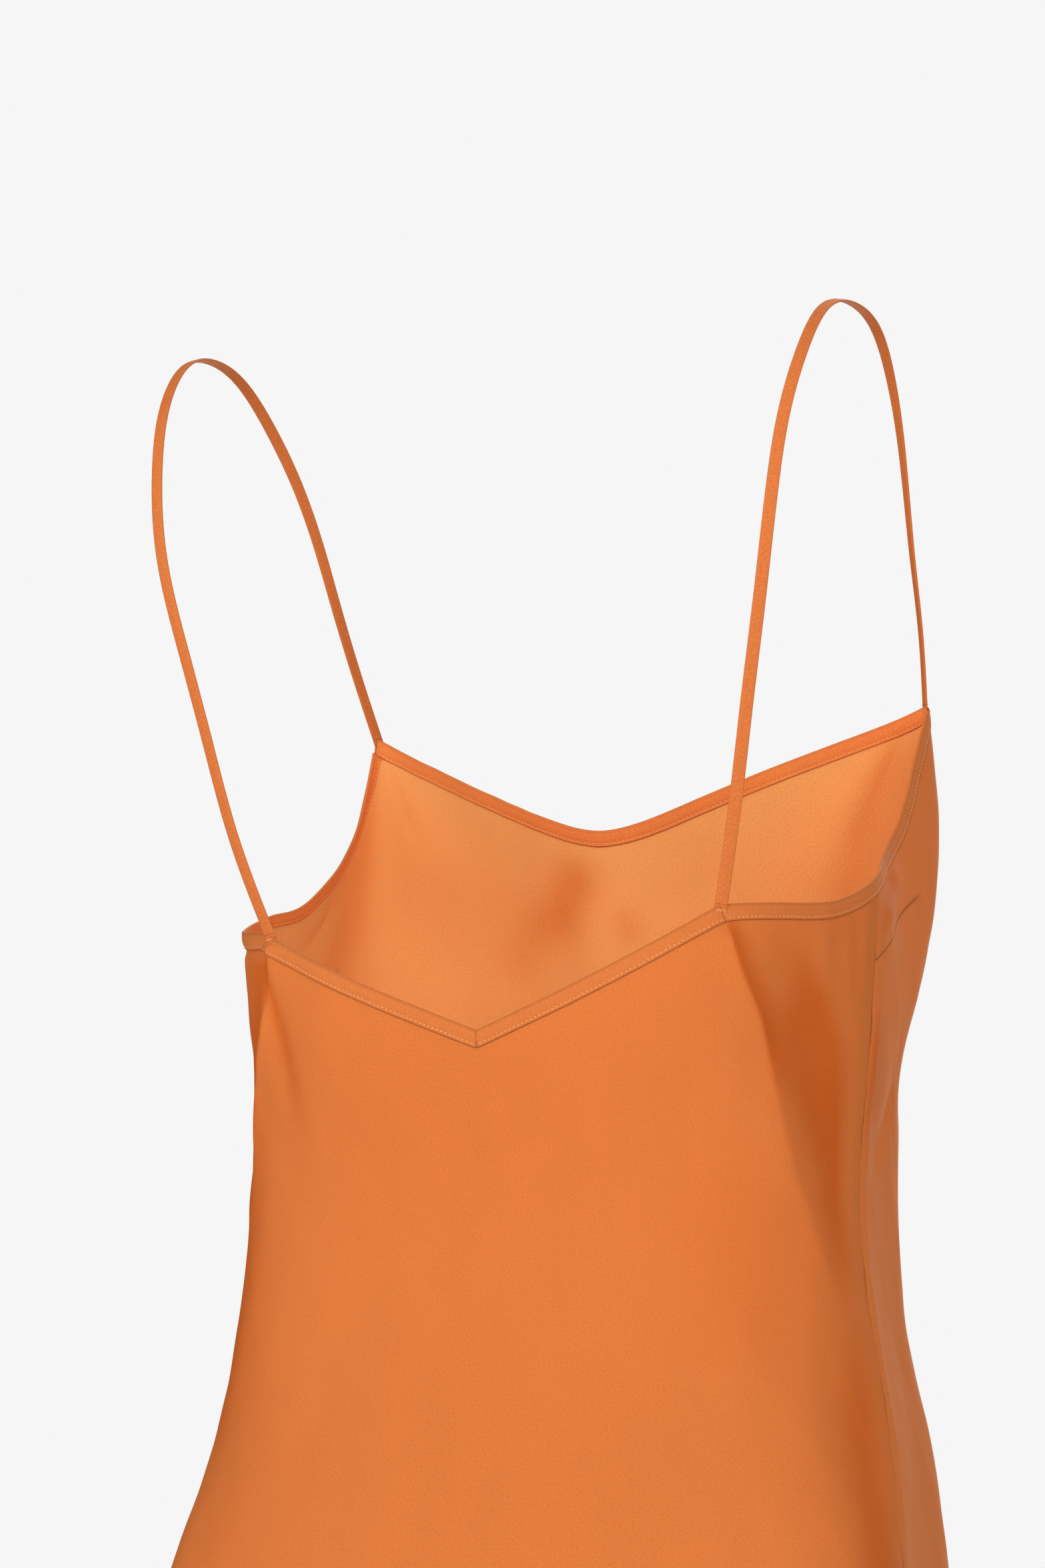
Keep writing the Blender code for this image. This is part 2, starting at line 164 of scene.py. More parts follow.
def formPoint(girth, height):
    sections = np.array(formSections, float)
    rows = splineWeights(sections[:, 0] * mm, height) @ sections[:, 1:]
    size = dict(zip(formColumns[1:], (rows * mm).T))
    rightLines = [(rightSeam["front"] - g, line) for g, line in leftLines[-2:0:-1]]
    girths, places = [], []
    for lines, side in ((leftLines, left), (rightLines, right)):
        for g, line in lines:
            across = size.get(line + "X", np.zeros(len(rows)))
            if line != "centre":
                across = side * across
            girths.append(g)
            places.append(np.stack((across, size[line + "Y"]), axis=-1))
    start = girths[0]
    girths = [g - fullGirth for g in girths[-wrappedLines:]] + girths
    girths += [g + fullGirth for g in girths[wrappedLines:2 * wrappedLines]]
    places = np.stack(places[-wrappedLines:] + places + places[:wrappedLines], axis=1)
    wrapped = (girth - start) % fullGirth + start
    flat = np.einsum("nk,nkc->nc", splineWeights(girths, wrapped), places)
    openShare = smoothStep((fluteTop - height) / (fluteTop - dress["hem"]))
    flute = np.zeros(len(height))
    for count, depth, phase in flutes:
        flute += depth * np.cos(2 * np.pi * count * girth / fullGirth + phase)
    flat = flat + unitVectors(flat) * (openShare * flute)[:, None]
    return np.column_stack((flat, height))


def slopes(surface, girth, height, step=0.0005):
    along = (surface(girth + step, height) - surface(girth - step, height)) / (2 * step)
    up = (surface(girth, height + step) - surface(girth, height - step)) / (2 * step)
    return along, up


def outward(surface, girth, height):
    along, up = slopes(surface, girth, height)
    return unitVectors(np.cross(up, along))


# ---- folds ----
def crease(side, strength, widths, opens, fade, *path, crest=0, softens=1.5):
    ahead, behind = np.array(widths) * mm
    return {"side": side, "strength": strength, "ahead": ahead, "behind": behind, "opens": opens,
            "fade": fade, "path": np.array(path) * mm, "crest": crest * mm, "softens": softens * mm}


# Each fold follows a path of girth and height on the left half, or its mirror image on the right.
# A ridge stands out by its strength and a trough sinks in. Its two widths are on the side towards
# the front and towards the back, and both open out by a share along its length. Its fade is the
# shares of its length over which it grows and dies away. A crest is the radius of a sharp top,
# and softens is what that radius gains by the fold's end. All lengths are in millimetres.
folds = (
    # drag lines from the back strap ends
    crease(right, 6, (11.5, 24), 1, (0.06, 0.55), (-96, -260), (-94, -273), (-88.2, -286), (-80.5, -299),
           (-75.5, -313), (-70.5, -334), (-66.5, -354), (-58, -376), (-44, -402), (-36, -440), (-34, -490),
           crest=0.3, softens=16),
    crease(right, -1.8, (14, 14), 0.5, (0.3, 0.5), (-66, -262), (-50, -300), (-34, -352), (-20, -410)),
    crease(left, 3.8, (9, 6), 0.6, (0.04, 0.5), (-104, -259), (-103, -270), (-101, -280), (-96.5, -291),
           (-87.5, -305), (-79.5, -318), (-72, -334), (-66, -352), (-62, -385), crest=0.3),
    crease(left, -1.8, (4, 3.6), 1.6, (0.06, 0.5), (-98.5, -262), (-100, -276), (-102, -289),
           (-104.5, -301), (-106.5, -313), (-109, -327), (-112, -347)),
    # the hip stands out behind the right side seam
    crease(right, 3.4, (18, 36), 0.3, (0.4, 0.3), (-48, -405), (-60, -440), (-66, -490), (-64, -560),
           (-58, -640)),
    # the cloth draws in under the left armhole's binding and puffs out below it
    crease(left, -1.2, (2.6, 2.6), 0, (0.3, 0.3), (-94, -264), (-70, -261.5), (-46, -256.5), (-24, -251)),
    crease(left, -1.6, (20, 20), 0.3, (0.4, 0.4), (-40, -285), (-46, -320), (-44, -370)),
    # short ripples under the armholes
    crease(right, 0.9, (3.5, 3), 0.8, (0.2, 0.7), (-46, -256.5), (-38, -278), (-26, -306)),
    crease(right, 0.9, (3, 3), 0.8, (0.2, 0.7), (-30, -254), (-24, -270), (-18, -300)),
    crease(right, 0.8, (2.5, 2.5), 0.6, (0.2, 0.7), (-16, -250), (-12, -266), (-9, -292)),
    crease(left, 0.8, (3.5, 3), 0.8, (0.2, 0.7), (-40, -256), (-33, -276), (-24, -300)),
    crease(left, 0.6, (3, 3), 0.8, (0.2, 0.7), (-20, -250), (-15, -266), (-10, -288)),
    # the sharp point of the back neck pulls short creases
    crease(left, -0.6, (4, 4), 1.2, (0.2, 0.7), (-205.5, -313), (-212, -334), (-221, -362)),
    crease(left, 0.5, (5, 4), 1.2, (0.2, 0.7), (-200, -316), (-196, -340), (-190, -375)),
    # the front panel stands up in a soft welt beside each side seam
    crease(right, 0.5, (4.2, 3.6), 0.2, (0.1, 0.4), (7.5, -268), (6.5, -310), (7.5, -360), (6, -420),
           (7.5, -500), (7, -580)),
    crease(left, 0.9, (4.2, 3.6), 0.2, (0.1, 0.4), (7, -262), (7.8, -300), (6.5, -350), (7.8, -410),
           (6.8, -490)),
    # fullness between the bust and the underarm
    crease(right, 2.1, (6, 3.4), 0.2, (0.2, 0.4), (55, -217), (53, -228), (40, -240), (17, -253), (5, -269),
           crest=0.3),
    crease(left, 1.3, (6, 5), 0.3, (0.35, 0.4), (56, -213), (52, -228), (42, -241), (22, -255), crest=0.8),
    # soft folds over the bust
    crease(left, 1.9, (11, 12), 0.4, (0.35, 0.5), (246, -206), (226, -226), (205, -248), (186, -276)),
    crease(right, 1, (14, 16), 0.3, (0.3, 0.5), (222, -216), (202, -236), (180, -268)),
    crease(left, 1.3, (10, 8), 1.2, (0.3, 0.6), (108, -152), (120, -175), (138, -208), crest=1),
    crease(right, 2.2, (8, 8), 0.8, (0.25, 0.5), (118, -152), (125, -163), (135, -184), (144, -208),
           (151, -230), crest=1.2),
    # creases of the waist
    crease(right, -1.6, (7, 7), 0.3, (0.3, 0.3), (60, -320), (41, -336), (23, -351), (11, -361)),
    crease(left, -1.4, (8, 7), 0.3, (0.3, 0.4), (70, -335), (44, -346), (20, -355)),
    crease(right, 1.1, (9, 8), 0.5, (0.3, 0.5), (130, -300), (100, -330), (60, -352)),
    crease(left, 1.3, (10, 9), 0.4, (0.3, 0.5), (150, -295), (112, -325), (65, -345)),
    crease(left, 0.8, (14, 11), 0.5, (0.4, 0.5), (225, -300), (218, -345), (224, -400)),
    # long soft folds of the skirt
    crease(left, 1.6, (16, 22), 0.6, (0.5, 0.3), (-165, -360), (-180, -470), (-192, -600), (-200, -780)),
    crease(right, 1.3, (16, 20), 0.6, (0.5, 0.3), (-150, -400), (-165, -520), (-170, -660), (-180, -820)),
    crease(right, 2.2, (12, 18), 0.8, (0.4, 0.2), (40, -520), (50, -660), (46, -840), (55, -1050)),
    crease(left, 2.6, (15, 13), 0.9, (0.4, 0.2), (60, -560), (52, -700), (58, -880), (50, -1100)),
    crease(left, 2.4, (18, 16), 0.7, (0.5, 0.2), (190, -580), (186, -740), (196, -920), (190, -1150)),
    crease(right, -1.8, (16, 20), 0.7, (0.5, 0.2), (150, -620), (158, -780), (150, -960), (160, -1160)),
)
# Painted shade: where folds would shade themselves the colour is painted deeper and darker, by a strength
# from 0 to 1.
paintedShadeStrokes = (
    # beside the drag lines
    crease(right, 0.9, (6, 1), 1.5, (0.05, 0.5), (-95.5, -262), (-93, -273), (-87, -286), (-79, -299),
           (-74, -313), (-69, -334), (-64, -354)),
    crease(right, 0.9, (5, 10), 1, (0.3, 0.3), (-78, -263), (-63, -271), (-50, -281), (-36, -300),
           (-28, -320), (-27, -344), (-29, -368), (-26, -395), (-26, -430)),
    crease(right, 0.75, (12, 12), 0.2, (0.3, 0.4), (-66, -282), (-57, -298), (-54, -315), (-48, -330),
           (-42, -348), (-36, -372)),
    crease(right, 0.8, (18, 16), 0.3, (0.25, 0.3), (-26, -415), (-28, -450), (-34, -490), (-36, -540),
           (-34, -620)),
    crease(right, 0.3, (30, 34), 0, (0.4, 0.4), (-100, -335), (-88, -380), (-86, -430), (-90, -470)),
    crease(left, 1, (24, 3), 0.2, (0.1, 0.5), (-98, -263), (-95, -280), (-86, -298), (-77, -316),
           (-70, -345)),
    crease(left, 0.8, (2.2, 1.8), 2.5, (0.05, 0.6), (-100.5, -263), (-101.5, -276), (-103.5, -289),
           (-106, -301), (-108.5, -313), (-111.5, -330), (-114, -352)),
    crease(left, 0.7, (20, 20), 0.3, (0.3, 0.3), (-50, -275), (-54, -340), (-52, -420), (-46, -500)),
    # on the front beside the side seams
    crease(right, 0.7, (12, 4), 0.5, (0.3, 0.5), (4, -285), (6, -310), (6, -335), (3, -360)),
    crease(right, 0.7, (3, 6), 0, (0.2, 0.3), (49, -220), (44, -234), (20, -247), (4, -262)),
    # the bust seen from inside
    crease(left, 0.95, (11, 11), 0.4, (0.3, 0.5), (236, -204), (225, -216), (213, -227), (203, -240),
           (194, -256)),
    crease(left, 0.4, (10, 10), 0.5, (0.4, 0.4), (206, -222), (193, -232), (182, -244), (170, -264)),
    crease(right, 0.5, (6, 6), 0.3, (0.4, 0.4), (245.5, -226), (242.5, -236), (236, -248)),
    crease(right, 0.6, (6, 6), 0.5, (0.2, 0.3), (118, -152), (126, -166), (134, -184), (143, -206),
           (150, -230), (156, -260)),
)
# Slight unevenness of cloth that has been worn and pressed: depth, waves per metre round the
# dress and down it, and phase.
unevenness = (
    (0.10 * mm, 31, 9, 0.3), (0.09 * mm, -23, 17, 2.1), (0.07 * mm, 44, -27, 4.0),
    (0.06 * mm, 12, 38, 5.2), (0.05 * mm, -61, 33, 1.2),
)
pathSamples = 10
foldReach, paintedShadeReach = 3.2, 2.4   # widths from the path at which a soft one has died away


def smoothPath(path, shares):
    return splineWeights(np.linspace(0, 1, len(path)), shares) @ path


def measureFrom(girth, height, path, side, reach):
    # how far each place lies along a path, as a share, and how far ahead of it, within reach of it
    path = smoothPath(path, np.linspace(0, 1, pathSamples))
    across = girth if side == left else rightSeam["front"] - girth
    across = (across - path[0, 0] + fullGirth / 2) % fullGirth - fullGirth / 2 + path[0, 0]
    low, high = path.min(axis=0) - reach, path.max(axis=0) + reach
    near = (across > low[0]) & (across < high[0]) & (height > low[1]) & (height < high[1])
    here = np.stack((across[near], height[near]), axis=-1)
    steps, starts = np.diff(path, axis=0), distances(path)
    lengths = np.diff(starts)
    nearest = np.full(len(here), np.inf)
    share, ahead = np.zeros(len(here)), np.zeros(len(here))
    for k, step in enumerate(steps):
        past = here - path[k]
        t = np.clip(past @ step / lengths[k]**2, 0, 1)
        gap = np.hypot(*(past - t[:, None] * step).T)
        turn = step[0] * past[:, 1] - step[1] * past[:, 0]
        closer = gap < nearest
        nearest = np.where(closer, gap, nearest)
        share = np.where(closer, (starts[k] + t * lengths[k]) / starts[-1], share)
        ahead = np.where(closer, np.sign(turn) * gap, ahead)
    return near, share, ahead


def strengthNear(line, girth, height, widths):
    # the places within reach of a fold or of a stroke of painted shade, and its strength at each
    reach = widths * max(line["ahead"], line["behind"]) * (1 + line["opens"])
    if line["crest"]:
        reach *= 1.5   # a sharp fold dies away more slowly
    near, share, ahead = measureFrom(girth, height, line["path"], line["side"], reach)
    width = np.where(ahead > 0, line["ahead"], line["behind"]) * (1 + line["opens"] * share)
    if line["crest"]:
        crest = line["crest"] + line["softens"] * share**2
        shape = np.exp(-(np.hypot(ahead, crest) - crest) / width)
        shape *= smoothStep((reach - np.abs(ahead)) / (0.3 * reach))
    else:
        shape = bell(ahead, width)
    grow, die = line["fade"]
    return near, line["strength"] * shape * smoothStep(share / grow) * smoothStep((1 - share) / die)


def foldLift(girth, height):
    lift = np.zeros(len(girth))
    for depth, roundWaves, downWaves, phase in unevenness:
        lift += depth * np.sin(2 * np.pi * (roundWaves * girth + downWaves * height) + phase)
    for fold in folds:
        near, depth = strengthNear(fold, girth, height, foldReach)
        lift[near] += depth * mm
    return lift


def paintedShadeAmount(girth, height):
    paintedShade = np.zeros(len(girth))
    for paintedShadow in paintedShadeStrokes:
        near, amount = strengthNear(paintedShadow, girth, height, paintedShadeReach)
        paintedShade[near] += amount
    return np.clip(paintedShade, 0, 1)


def clothPoint(girth, height):
    return formPoint(girth, height) + outward(formPoint, girth, height) * foldLift(girth, height)[:, None]


def onCloth(girth, height, lift):
    # points that stand a given lift above the folded cloth
    girth, height = np.asarray(girth, float), np.asarray(height, float)
    along, up = slopes(clothPoint, girth, height)
    normal = unitVectors(np.cross(up, along))
    return clothPoint(girth, height) + normal * np.reshape(lift, (-1, 1)), normal


def settle(points):
    # the whole dress hangs a little askew below the shoulders
    share = smoothStep(-points[:, 2] / 0.25)
    points[:, 2] -= dress["askew"] * points[:, 0] * share
    return points


# ---- materials ----
def setInputs(node, inputs):
    # each input takes a value, or the output that feeds it
    for name, value in inputs.items():
        if isinstance(value, bpy.types.NodeSocket):
            node.id_data.links.new(value, node.inputs[name])
        else:
            node.inputs[name].default_value = value


def addNode(tree, kind, at, inputs={}, **values):
    node = tree.nodes.new(kind)
    node.location = at
    for name, value in values.items():
        setattr(node, name, value)
    setInputs(node, inputs)
    return node


def addMath(tree, at, operation, first, second):
    node = addNode(tree, "ShaderNodeMath", at, {0: first, 1: second}, operation=operation)
    return node.outputs[0]


def satinGrainGroup():
    # fine speckle of the weave, stretched along the weft, and slow clouding down the cloth
    group = bpy.data.node_groups.new("satinGrain", "ShaderNodeTree")
    face = group.interface
    face.new_socket("Vector", in_out="INPUT", socket_type="NodeSocketVector")
    for name in ("Grain", "Cloud", "Turn"):
        face.new_socket(name, in_out="INPUT", socket_type="NodeSocketFloat")
    for name in ("Shade", "Height"):
        face.new_socket(name, in_out="OUTPUT", socket_type="NodeSocketFloat")
    take = addNode(group, "NodeGroupInput", (-900, 0)).outputs
    turn = addNode(group, "ShaderNodeVectorRotate", (-700, 0),
                   {"Vector": take["Vector"], "Angle": take["Turn"]}, rotation_type="Z_AXIS")
    textures = {}
    for name, y, source, stretch, noise in (
            ("Grain", 100, turn.outputs[0], (1000, 1900, 1), {"Detail": 2}),
            ("Cloud", -200, take["Vector"], (24, 8, 1), {"Detail": 6, "Roughness": 0.62})):
        stretched = addNode(group, "ShaderNodeVectorMath", (-500, y), {0: source, 1: stretch},
                            operation="MULTIPLY")
        texture = addNode(group, "ShaderNodeTexNoise", (-300, y), noise_dimensions="2D")
        setInputs(texture, noise | {"Vector": stretched.outputs[0], "Scale": 1})
        textures[name] = texture.outputs["Fac"]
    total = 1
    for name, y in (("Grain", 100), ("Cloud", -200)):
        centred = addMath(group, (-100, y), "SUBTRACT", textures[name], 0.5)
        scaled = addMath(group, (80, y), "MULTIPLY", centred, take[name])
        total = addMath(group, (260, y), "ADD", scaled, total)
    addNode(group, "NodeGroupOutput", (700, 0), {"Shade": total, "Height": textures["Grain"]})
    return group


satinGrain = satinGrainGroup()


def satinMaterial(name, finish):
    material = bpy.data.materials.new(name)
    material.use_nodes = True
    tree = material.node_tree
    shader = tree.nodes["Principled BSDF"]
    uv = addNode(tree, "ShaderNodeUVMap", (-1100, 0), uv_map="cloth")
    grain = addNode(tree, "ShaderNodeGroup", (-900, 0), {
        "Vector": uv.outputs["UV"], "Grain": finish["grain"], "Cloud": finish["cloud"],
        "Turn": finish["turn"]}, node_tree=satinGrain).outputs
    # the colour is painted deeper where the paintedShade layer marks fold shade, and scaled by the painted
    # shade and light of the shade layer
    shade = addNode(tree, "ShaderNodeAttribute", (-900, 250), attribute_name="shade")
    both = addMath(tree, (-750, 150), "MULTIPLY", grain["Shade"], shade.outputs["Fac"])
    paintedShadow = addNode(tree, "ShaderNodeAttribute", (-1100, -250), attribute_name="paintedShade")
    hue = addNode(tree, "ShaderNodeMix", (-900, -250), data_type="RGBA")
    setInputs(hue, {"Factor": paintedShadow.outputs["Fac"], 6: (*finish["colour"], 1), 7: (*finish["paintedShade"], 1)})
    tint = addNode(tree, "ShaderNodeVectorMath", (-600, 100), {0: hue.outputs[2], "Scale": both},
                   operation="SCALE")
    bump = addNode(tree, "ShaderNodeBump", (-400, -300), {
        "Strength": finish["bump"], "Distance": 0.1 * mm, "Height": grain["Height"]})
    setInputs(shader, {
        "Base Color": tint.outputs[0], "Normal": bump.outputs["Normal"],
        "Roughness": finish["roughness"], "Specular IOR Level": finish["specular"],
        "Specular Tint": (*finish["specularTint"], 1), "Sheen Weight": finish["sheen"],
        "Sheen Roughness": 0.4, "Sheen Tint": (1.0, 0.66, 0.32, 1)})
    if finish["glow"]:   # light that comes through the thin cloth
        through = addNode(tree, "ShaderNodeBsdfTranslucent", (0, -300), {"Color": (*finish["through"], 1)})
        mix = addNode(tree, "ShaderNodeMixShader", (300, 0), {
            "Fac": finish["glow"], 1: shader.outputs[0], 2: through.outputs[0]})
        setInputs(tree.nodes["Material Output"], {"Surface": mix.outputs[0]})
    return material


outsideFinish = {
    # paintedShade is the darker colour painted in where folds would shade themselves
    "colour": (0.70, 0.210, 0.054), "paintedShade": (0.62, 0.138, 0.022),
    "grain": 0.45, "cloud": 0.11, "turn": 0.785, "bump": 0.25,
    "roughness": 0.55, "specular": 0.08, "specularTint": (1.0, 0.75, 0.5), "sheen": 0.15,
    "glow": 0.25, "through": (0.95, 0.36, 0.10),
}
# The inner faces' paler colour is partly the duller wrong side of the satin and partly painted light that
# brightens the inside of the dress.
insideFinish = outsideFinish | {
    "colour": (0.98, 0.44, 0.145), "paintedShade": (0.88, 0.280, 0.072), "roughness": 0.6, "sheen": 0.1,
    "through": (0.95, 0.50, 0.20)}
bindingFinish = outsideFinish | {
    "colour": (0.60, 0.165, 0.043), "paintedShade": (0.60, 0.165, 0.043), "turn": 0,
    "roughness": 0.6, "specular": 0.1, "sheen": 0.1, "glow": 0}
strapFinish = bindingFinish | {"colour": (0.60, 0.160, 0.042)}
threadFinish = bindingFinish | {"colour": (0.86, 0.38, 0.17), "grain": 0.0, "roughness": 0.5}
seamThreadFinish = threadFinish | {"colour": (0.76, 0.25, 0.075)}
darkThreadFinish = threadFinish | {"colour": (0.20, 0.050, 0.018)}
# the two panels are cut across each other, so that the front one shines more at the side seams
frontOutsideSatin = satinMaterial("frontOutsideSatin", outsideFinish | {"sheen": 0.18, "specular": 0.08})
backOutsideSatin = satinMaterial("backOutsideSatin", outsideFinish | {"sheen": 0.03, "specular": 0.05})
insideSatin = satinMaterial("insideSatin", insideFinish)
bindingSatin = satinMaterial("bindingSatin", bindingFinish)
strapSatin = satinMaterial("strapSatin", strapFinish)
thread = satinMaterial("thread", threadFinish)
seamThread = satinMaterial("seamThread", seamThreadFinish)
darkThread = satinMaterial("darkThread", darkThreadFinish)
print("materials made")


# ---- making pieces ----
def addObject(name, data):
    thing = bpy.data.objects.new(name, data)
    scene.collection.objects.link(thing)
    return thing


def meshFrom(name, sheet):
    mesh = bpy.data.meshes.new(name)
    sheet.to_mesh(mesh)
    sheet.free()
    return mesh


def finishPiece(name, sheet, materials, node=None, slot=None):
    # a bmesh becomes an object that rides on the dress's one body
    mesh = meshFrom(name, sheet)
    mesh.shade_smooth()
    for material in materials:
        mesh.materials.append(material)
    piece = addObject(name, mesh)
    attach(piece, "root")
    if node:
        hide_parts(node)
    layValues(mesh, "shade", np.ones(len(mesh.vertices)))
    return piece


def coordinates(mesh):
    flat = np.empty(len(mesh.vertices) * 3)
    mesh.vertices.foreach_get("co", flat)
    return flat.reshape(-1, 3)


def place(piece, points):
    piece.data.vertices.foreach_set("co", np.ascontiguousarray(settle(points), dtype=float).ravel())
    piece.data.update()


def placeOnCloth(piece, girth, height, lift):
    place(piece, onCloth(girth, height, lift)[0])


def layValues(mesh, name, values):
    # for each vertex: shade scales the cloth's colour, painted shade below 1 and painted light above 1, and
    # paintedShade is how much painted fold shade deepens it
    layer = mesh.attributes.get(name) or mesh.attributes.new(name, "FLOAT", "POINT")
    layer.data.foreach_set("value", np.ascontiguousarray(values, dtype=float))


def layUv(mesh, places):
    # cloth coordinates in metres, one for each vertex
    corner = np.empty(len(mesh.loops), dtype=int)
    mesh.loops.foreach_get("vertex_index", corner)
    layer = mesh.uv_layers.new(name="cloth")
    layer.data.foreach_set("uv", np.ascontiguousarray(places[corner], dtype=float).ravel())


def emptyGrid(rows, columns):
    # a grid, and the row and column of each of its vertices
    sheet = bmesh.new()
    bmesh.ops.create_grid(sheet, x_segments=columns - 1, y_segments=rows - 1, size=0.5)
    spots = np.array([vert.co for vert in sheet.verts])[:, :2] + 0.5
    column, row = np.rint(spots * (columns - 1, rows - 1)).astype(int).T
    return sheet, row, column


def gridSheet(girths, heights):
    # a grid whose vertices hold girth and height until they are placed
    sheet, row, column = emptyGrid(*girths.shape)
    for vert, girth, height in zip(sheet.verts, girths[row, column], heights[row, column]):
        vert.co = (girth, height, 0)
    return sheet


def takePlaces(piece):
    # the girth and height that a flat piece's vertices hold, which are its cloth coordinates too
    places = coordinates(piece.data)[:, :2]
    layUv(piece.data, places)
    return places.T


def thicken(piece, thickness):
    wall = piece.modifiers.new("wall", "SOLIDIFY")
    wall.thickness = thickness
    wall.offset = -1
    wall.material_offset = len(piece.data.materials) - 1
    wall.use_quality_normals = True


# ---- the top edge ----
fine = 400   # points on a line before it is spread evenly
segments = {"neck": 260, "armholeFront": 120, "armholeBack": 80, "backNeck": 100}
softCorner, softPoint = 0.008, 0.0022   # how far the bindings' lower edges bend at their corners
# how far along the edge a corner makes the bindings lean, and how far the armholes' bindings run
# under the neck's one at the front strap points
mitreReach, strapPointReach, underlap = 0.034, 0.012, 0.3 * mm


def armholeHeight(side):
    # the function that gives an armhole's height for each girth
    table = np.array(armholes[side])
    return lambda girth: splineWeights(table[:, 0], girth) @ table[:, 1]


def frontNeckHeight(girth):
    # two nearly straight arms, as seen from the front, and a rounded point between them
    row = [dress["cornerGirth"], dress["centreGirth"], rightSeam["front"] - dress["cornerGirth"]]
    leftEnd, middle, rightEnd = formPoint(np.array(row), np.full(3, dress["neckLevel"]))[:, 0]
    across = formPoint(girth, np.full(len(girth), dress["neckLevel"]))[:, 0]
    share = np.where(across > middle, (across - middle) / (leftEnd - middle),
                     (middle - across) / (middle - rightEnd))
    rounding = dress["neckRounding"]
    arms = np.hypot(share, rounding) - rounding
    whole = np.hypot(1, rounding) - rounding
    peak = np.where(across > middle, armholes[left][-1][1], armholes[right][-1][1])
    return dress["neckPoint"] + (peak - dress["neckPoint"]) * arms / whole


def backNeckHeight(girth):
    share = np.abs(girth + dress["spineGirth"]) / (dress["spineGirth"] - dress["strapGirth"])
    onLeft = girth > -dress["spineGirth"]
    peak = np.where(onLeft, armholes[left][0][1], armholes[right][0][1])
    sag = np.where(onLeft, 0, dress["backNeckSag"]) * 4 * share * (1 - share)
    return dress["backNeckPoint"] + (peak - dress["backNeckPoint"]) * share - sag


def spread(girth, height, shares):
    run = distances(formPoint(girth, height))
    at = shares * run[-1]
    return np.interp(at, run, girth), np.interp(at, run, height)


def edgeRun(start, end, count, heightOf):
    girth = np.linspace(start, end, fine)
    girth, height = spread(girth, heightOf(girth), np.linspace(0, 1, count + 1))
    return completeRun(girth, height)


def completeRun(girth, height):
    point = formPoint(girth, height)
    normal = outward(formPoint, girth, height)
    tangent = unitVectors(np.gradient(point, axis=0, edge_order=2))
    return {"girth": girth, "height": height, "point": point, "tangent": tangent,
            "inward": unitVectors(np.cross(tangent, normal))}


def mirrored(run, middle):
    # a run laid on the other half and turned to keep its way round the dress
    return completeRun(2 * middle - run["girth"][::-1], run["height"][::-1])


def copied(run):
    return completeRun(run["girth"], run["height"])


def lean(run, end, share, reach=mitreReach):
    path = distances(run["point"])
    near = np.clip(1 - np.abs(path - path[end]) / reach, 0, 1)[:, None]
    run["inward"] = run["inward"] + run["tangent"] * near * (share @ run["tangent"][end])
    run["inward"][end] = share


def mitre(before, after):
    share = before["inward"][-1] + after["inward"][0]
    leanBoth(before, after, share / (1 + before["inward"][-1] @ after["inward"][0]))


def meetAtSeam(before, after):
    _, up = slopes(formPoint, before["girth"][-1:], before["height"][-1:])
    down = -unitVectors(up)[0]
    leanBoth(before, after, down / (down @ before["inward"][-1]))


def leanBoth(before, after, share):
    lean(before, -1, share)
    lean(after, 0, share)


def slide(girth, height, move):
    target = formPoint(girth, height) + move
    for _ in range(3):
        along, up = slopes(formPoint, girth, height)
        rest = target - formPoint(girth, height)
        aa, au, uu = dot(along, along), dot(along, up), dot(up, up)
        ra, ru = dot(rest, along), dot(rest, up)
        area = aa * uu - au**2
        girth = girth + ((ra * uu - ru * au) / area)[:, 0]
        height = height + ((ru * aa - ra * au) / area)[:, 0]
    return girth, height


def lowEdge(run):
    # where the binding's lower edge lies, and how much a mitre lengthens the way down to it
    run["lowGirth"], run["lowHeight"] = slide(
        run["girth"], run["height"], run["inward"] * dress["bindingWidth"])
    run["reach"] = np.linalg.norm(run["inward"], axis=1)


def topEdge():
    # the runs of the top edge, all the way round from the right side seam across the front
    corner, strap = dress["cornerGirth"], -dress["strapGirth"]
    centre, spine = dress["centreGirth"], -dress["spineGirth"]
    ahead, behind, backNeck = segments["armholeFront"], segments["armholeBack"], segments["backNeck"]
    runs = {
        "frontRight": mirrored(edgeRun(corner, 0, ahead, armholeHeight(right)), centre),
        "neck": edgeRun(rightSeam["front"] - corner, corner, segments["neck"], frontNeckHeight),
        "frontLeft": edgeRun(corner, 0, ahead, armholeHeight(left)),
        "backLeft": edgeRun(0, strap, behind, armholeHeight(left)),
        "backNeckLeft": edgeRun(strap, spine, backNeck, backNeckHeight),
        "backNeckRight": edgeRun(spine, rightSeam["back"] - strap, backNeck, backNeckHeight),
        "backRight": mirrored(edgeRun(0, strap, behind, armholeHeight(right)), spine),
    }
    order = list(runs.values())
    for before, after in zip(order[:-1], order[1:]):
        mitre(before, after)
    meetAtSeam(runs["frontLeft"], runs["backLeft"])
    meetAtSeam(runs["backRight"], runs["frontRight"])
    for run in order:
        lowEdge(run)
    roundCorner(runs["backLeft"], runs["backNeckLeft"], softCorner)
    roundCorner(runs["backNeckLeft"], runs["backNeckRight"], softPoint)
    roundCorner(runs["backNeckRight"], runs["backRight"], softCorner)
    return runs


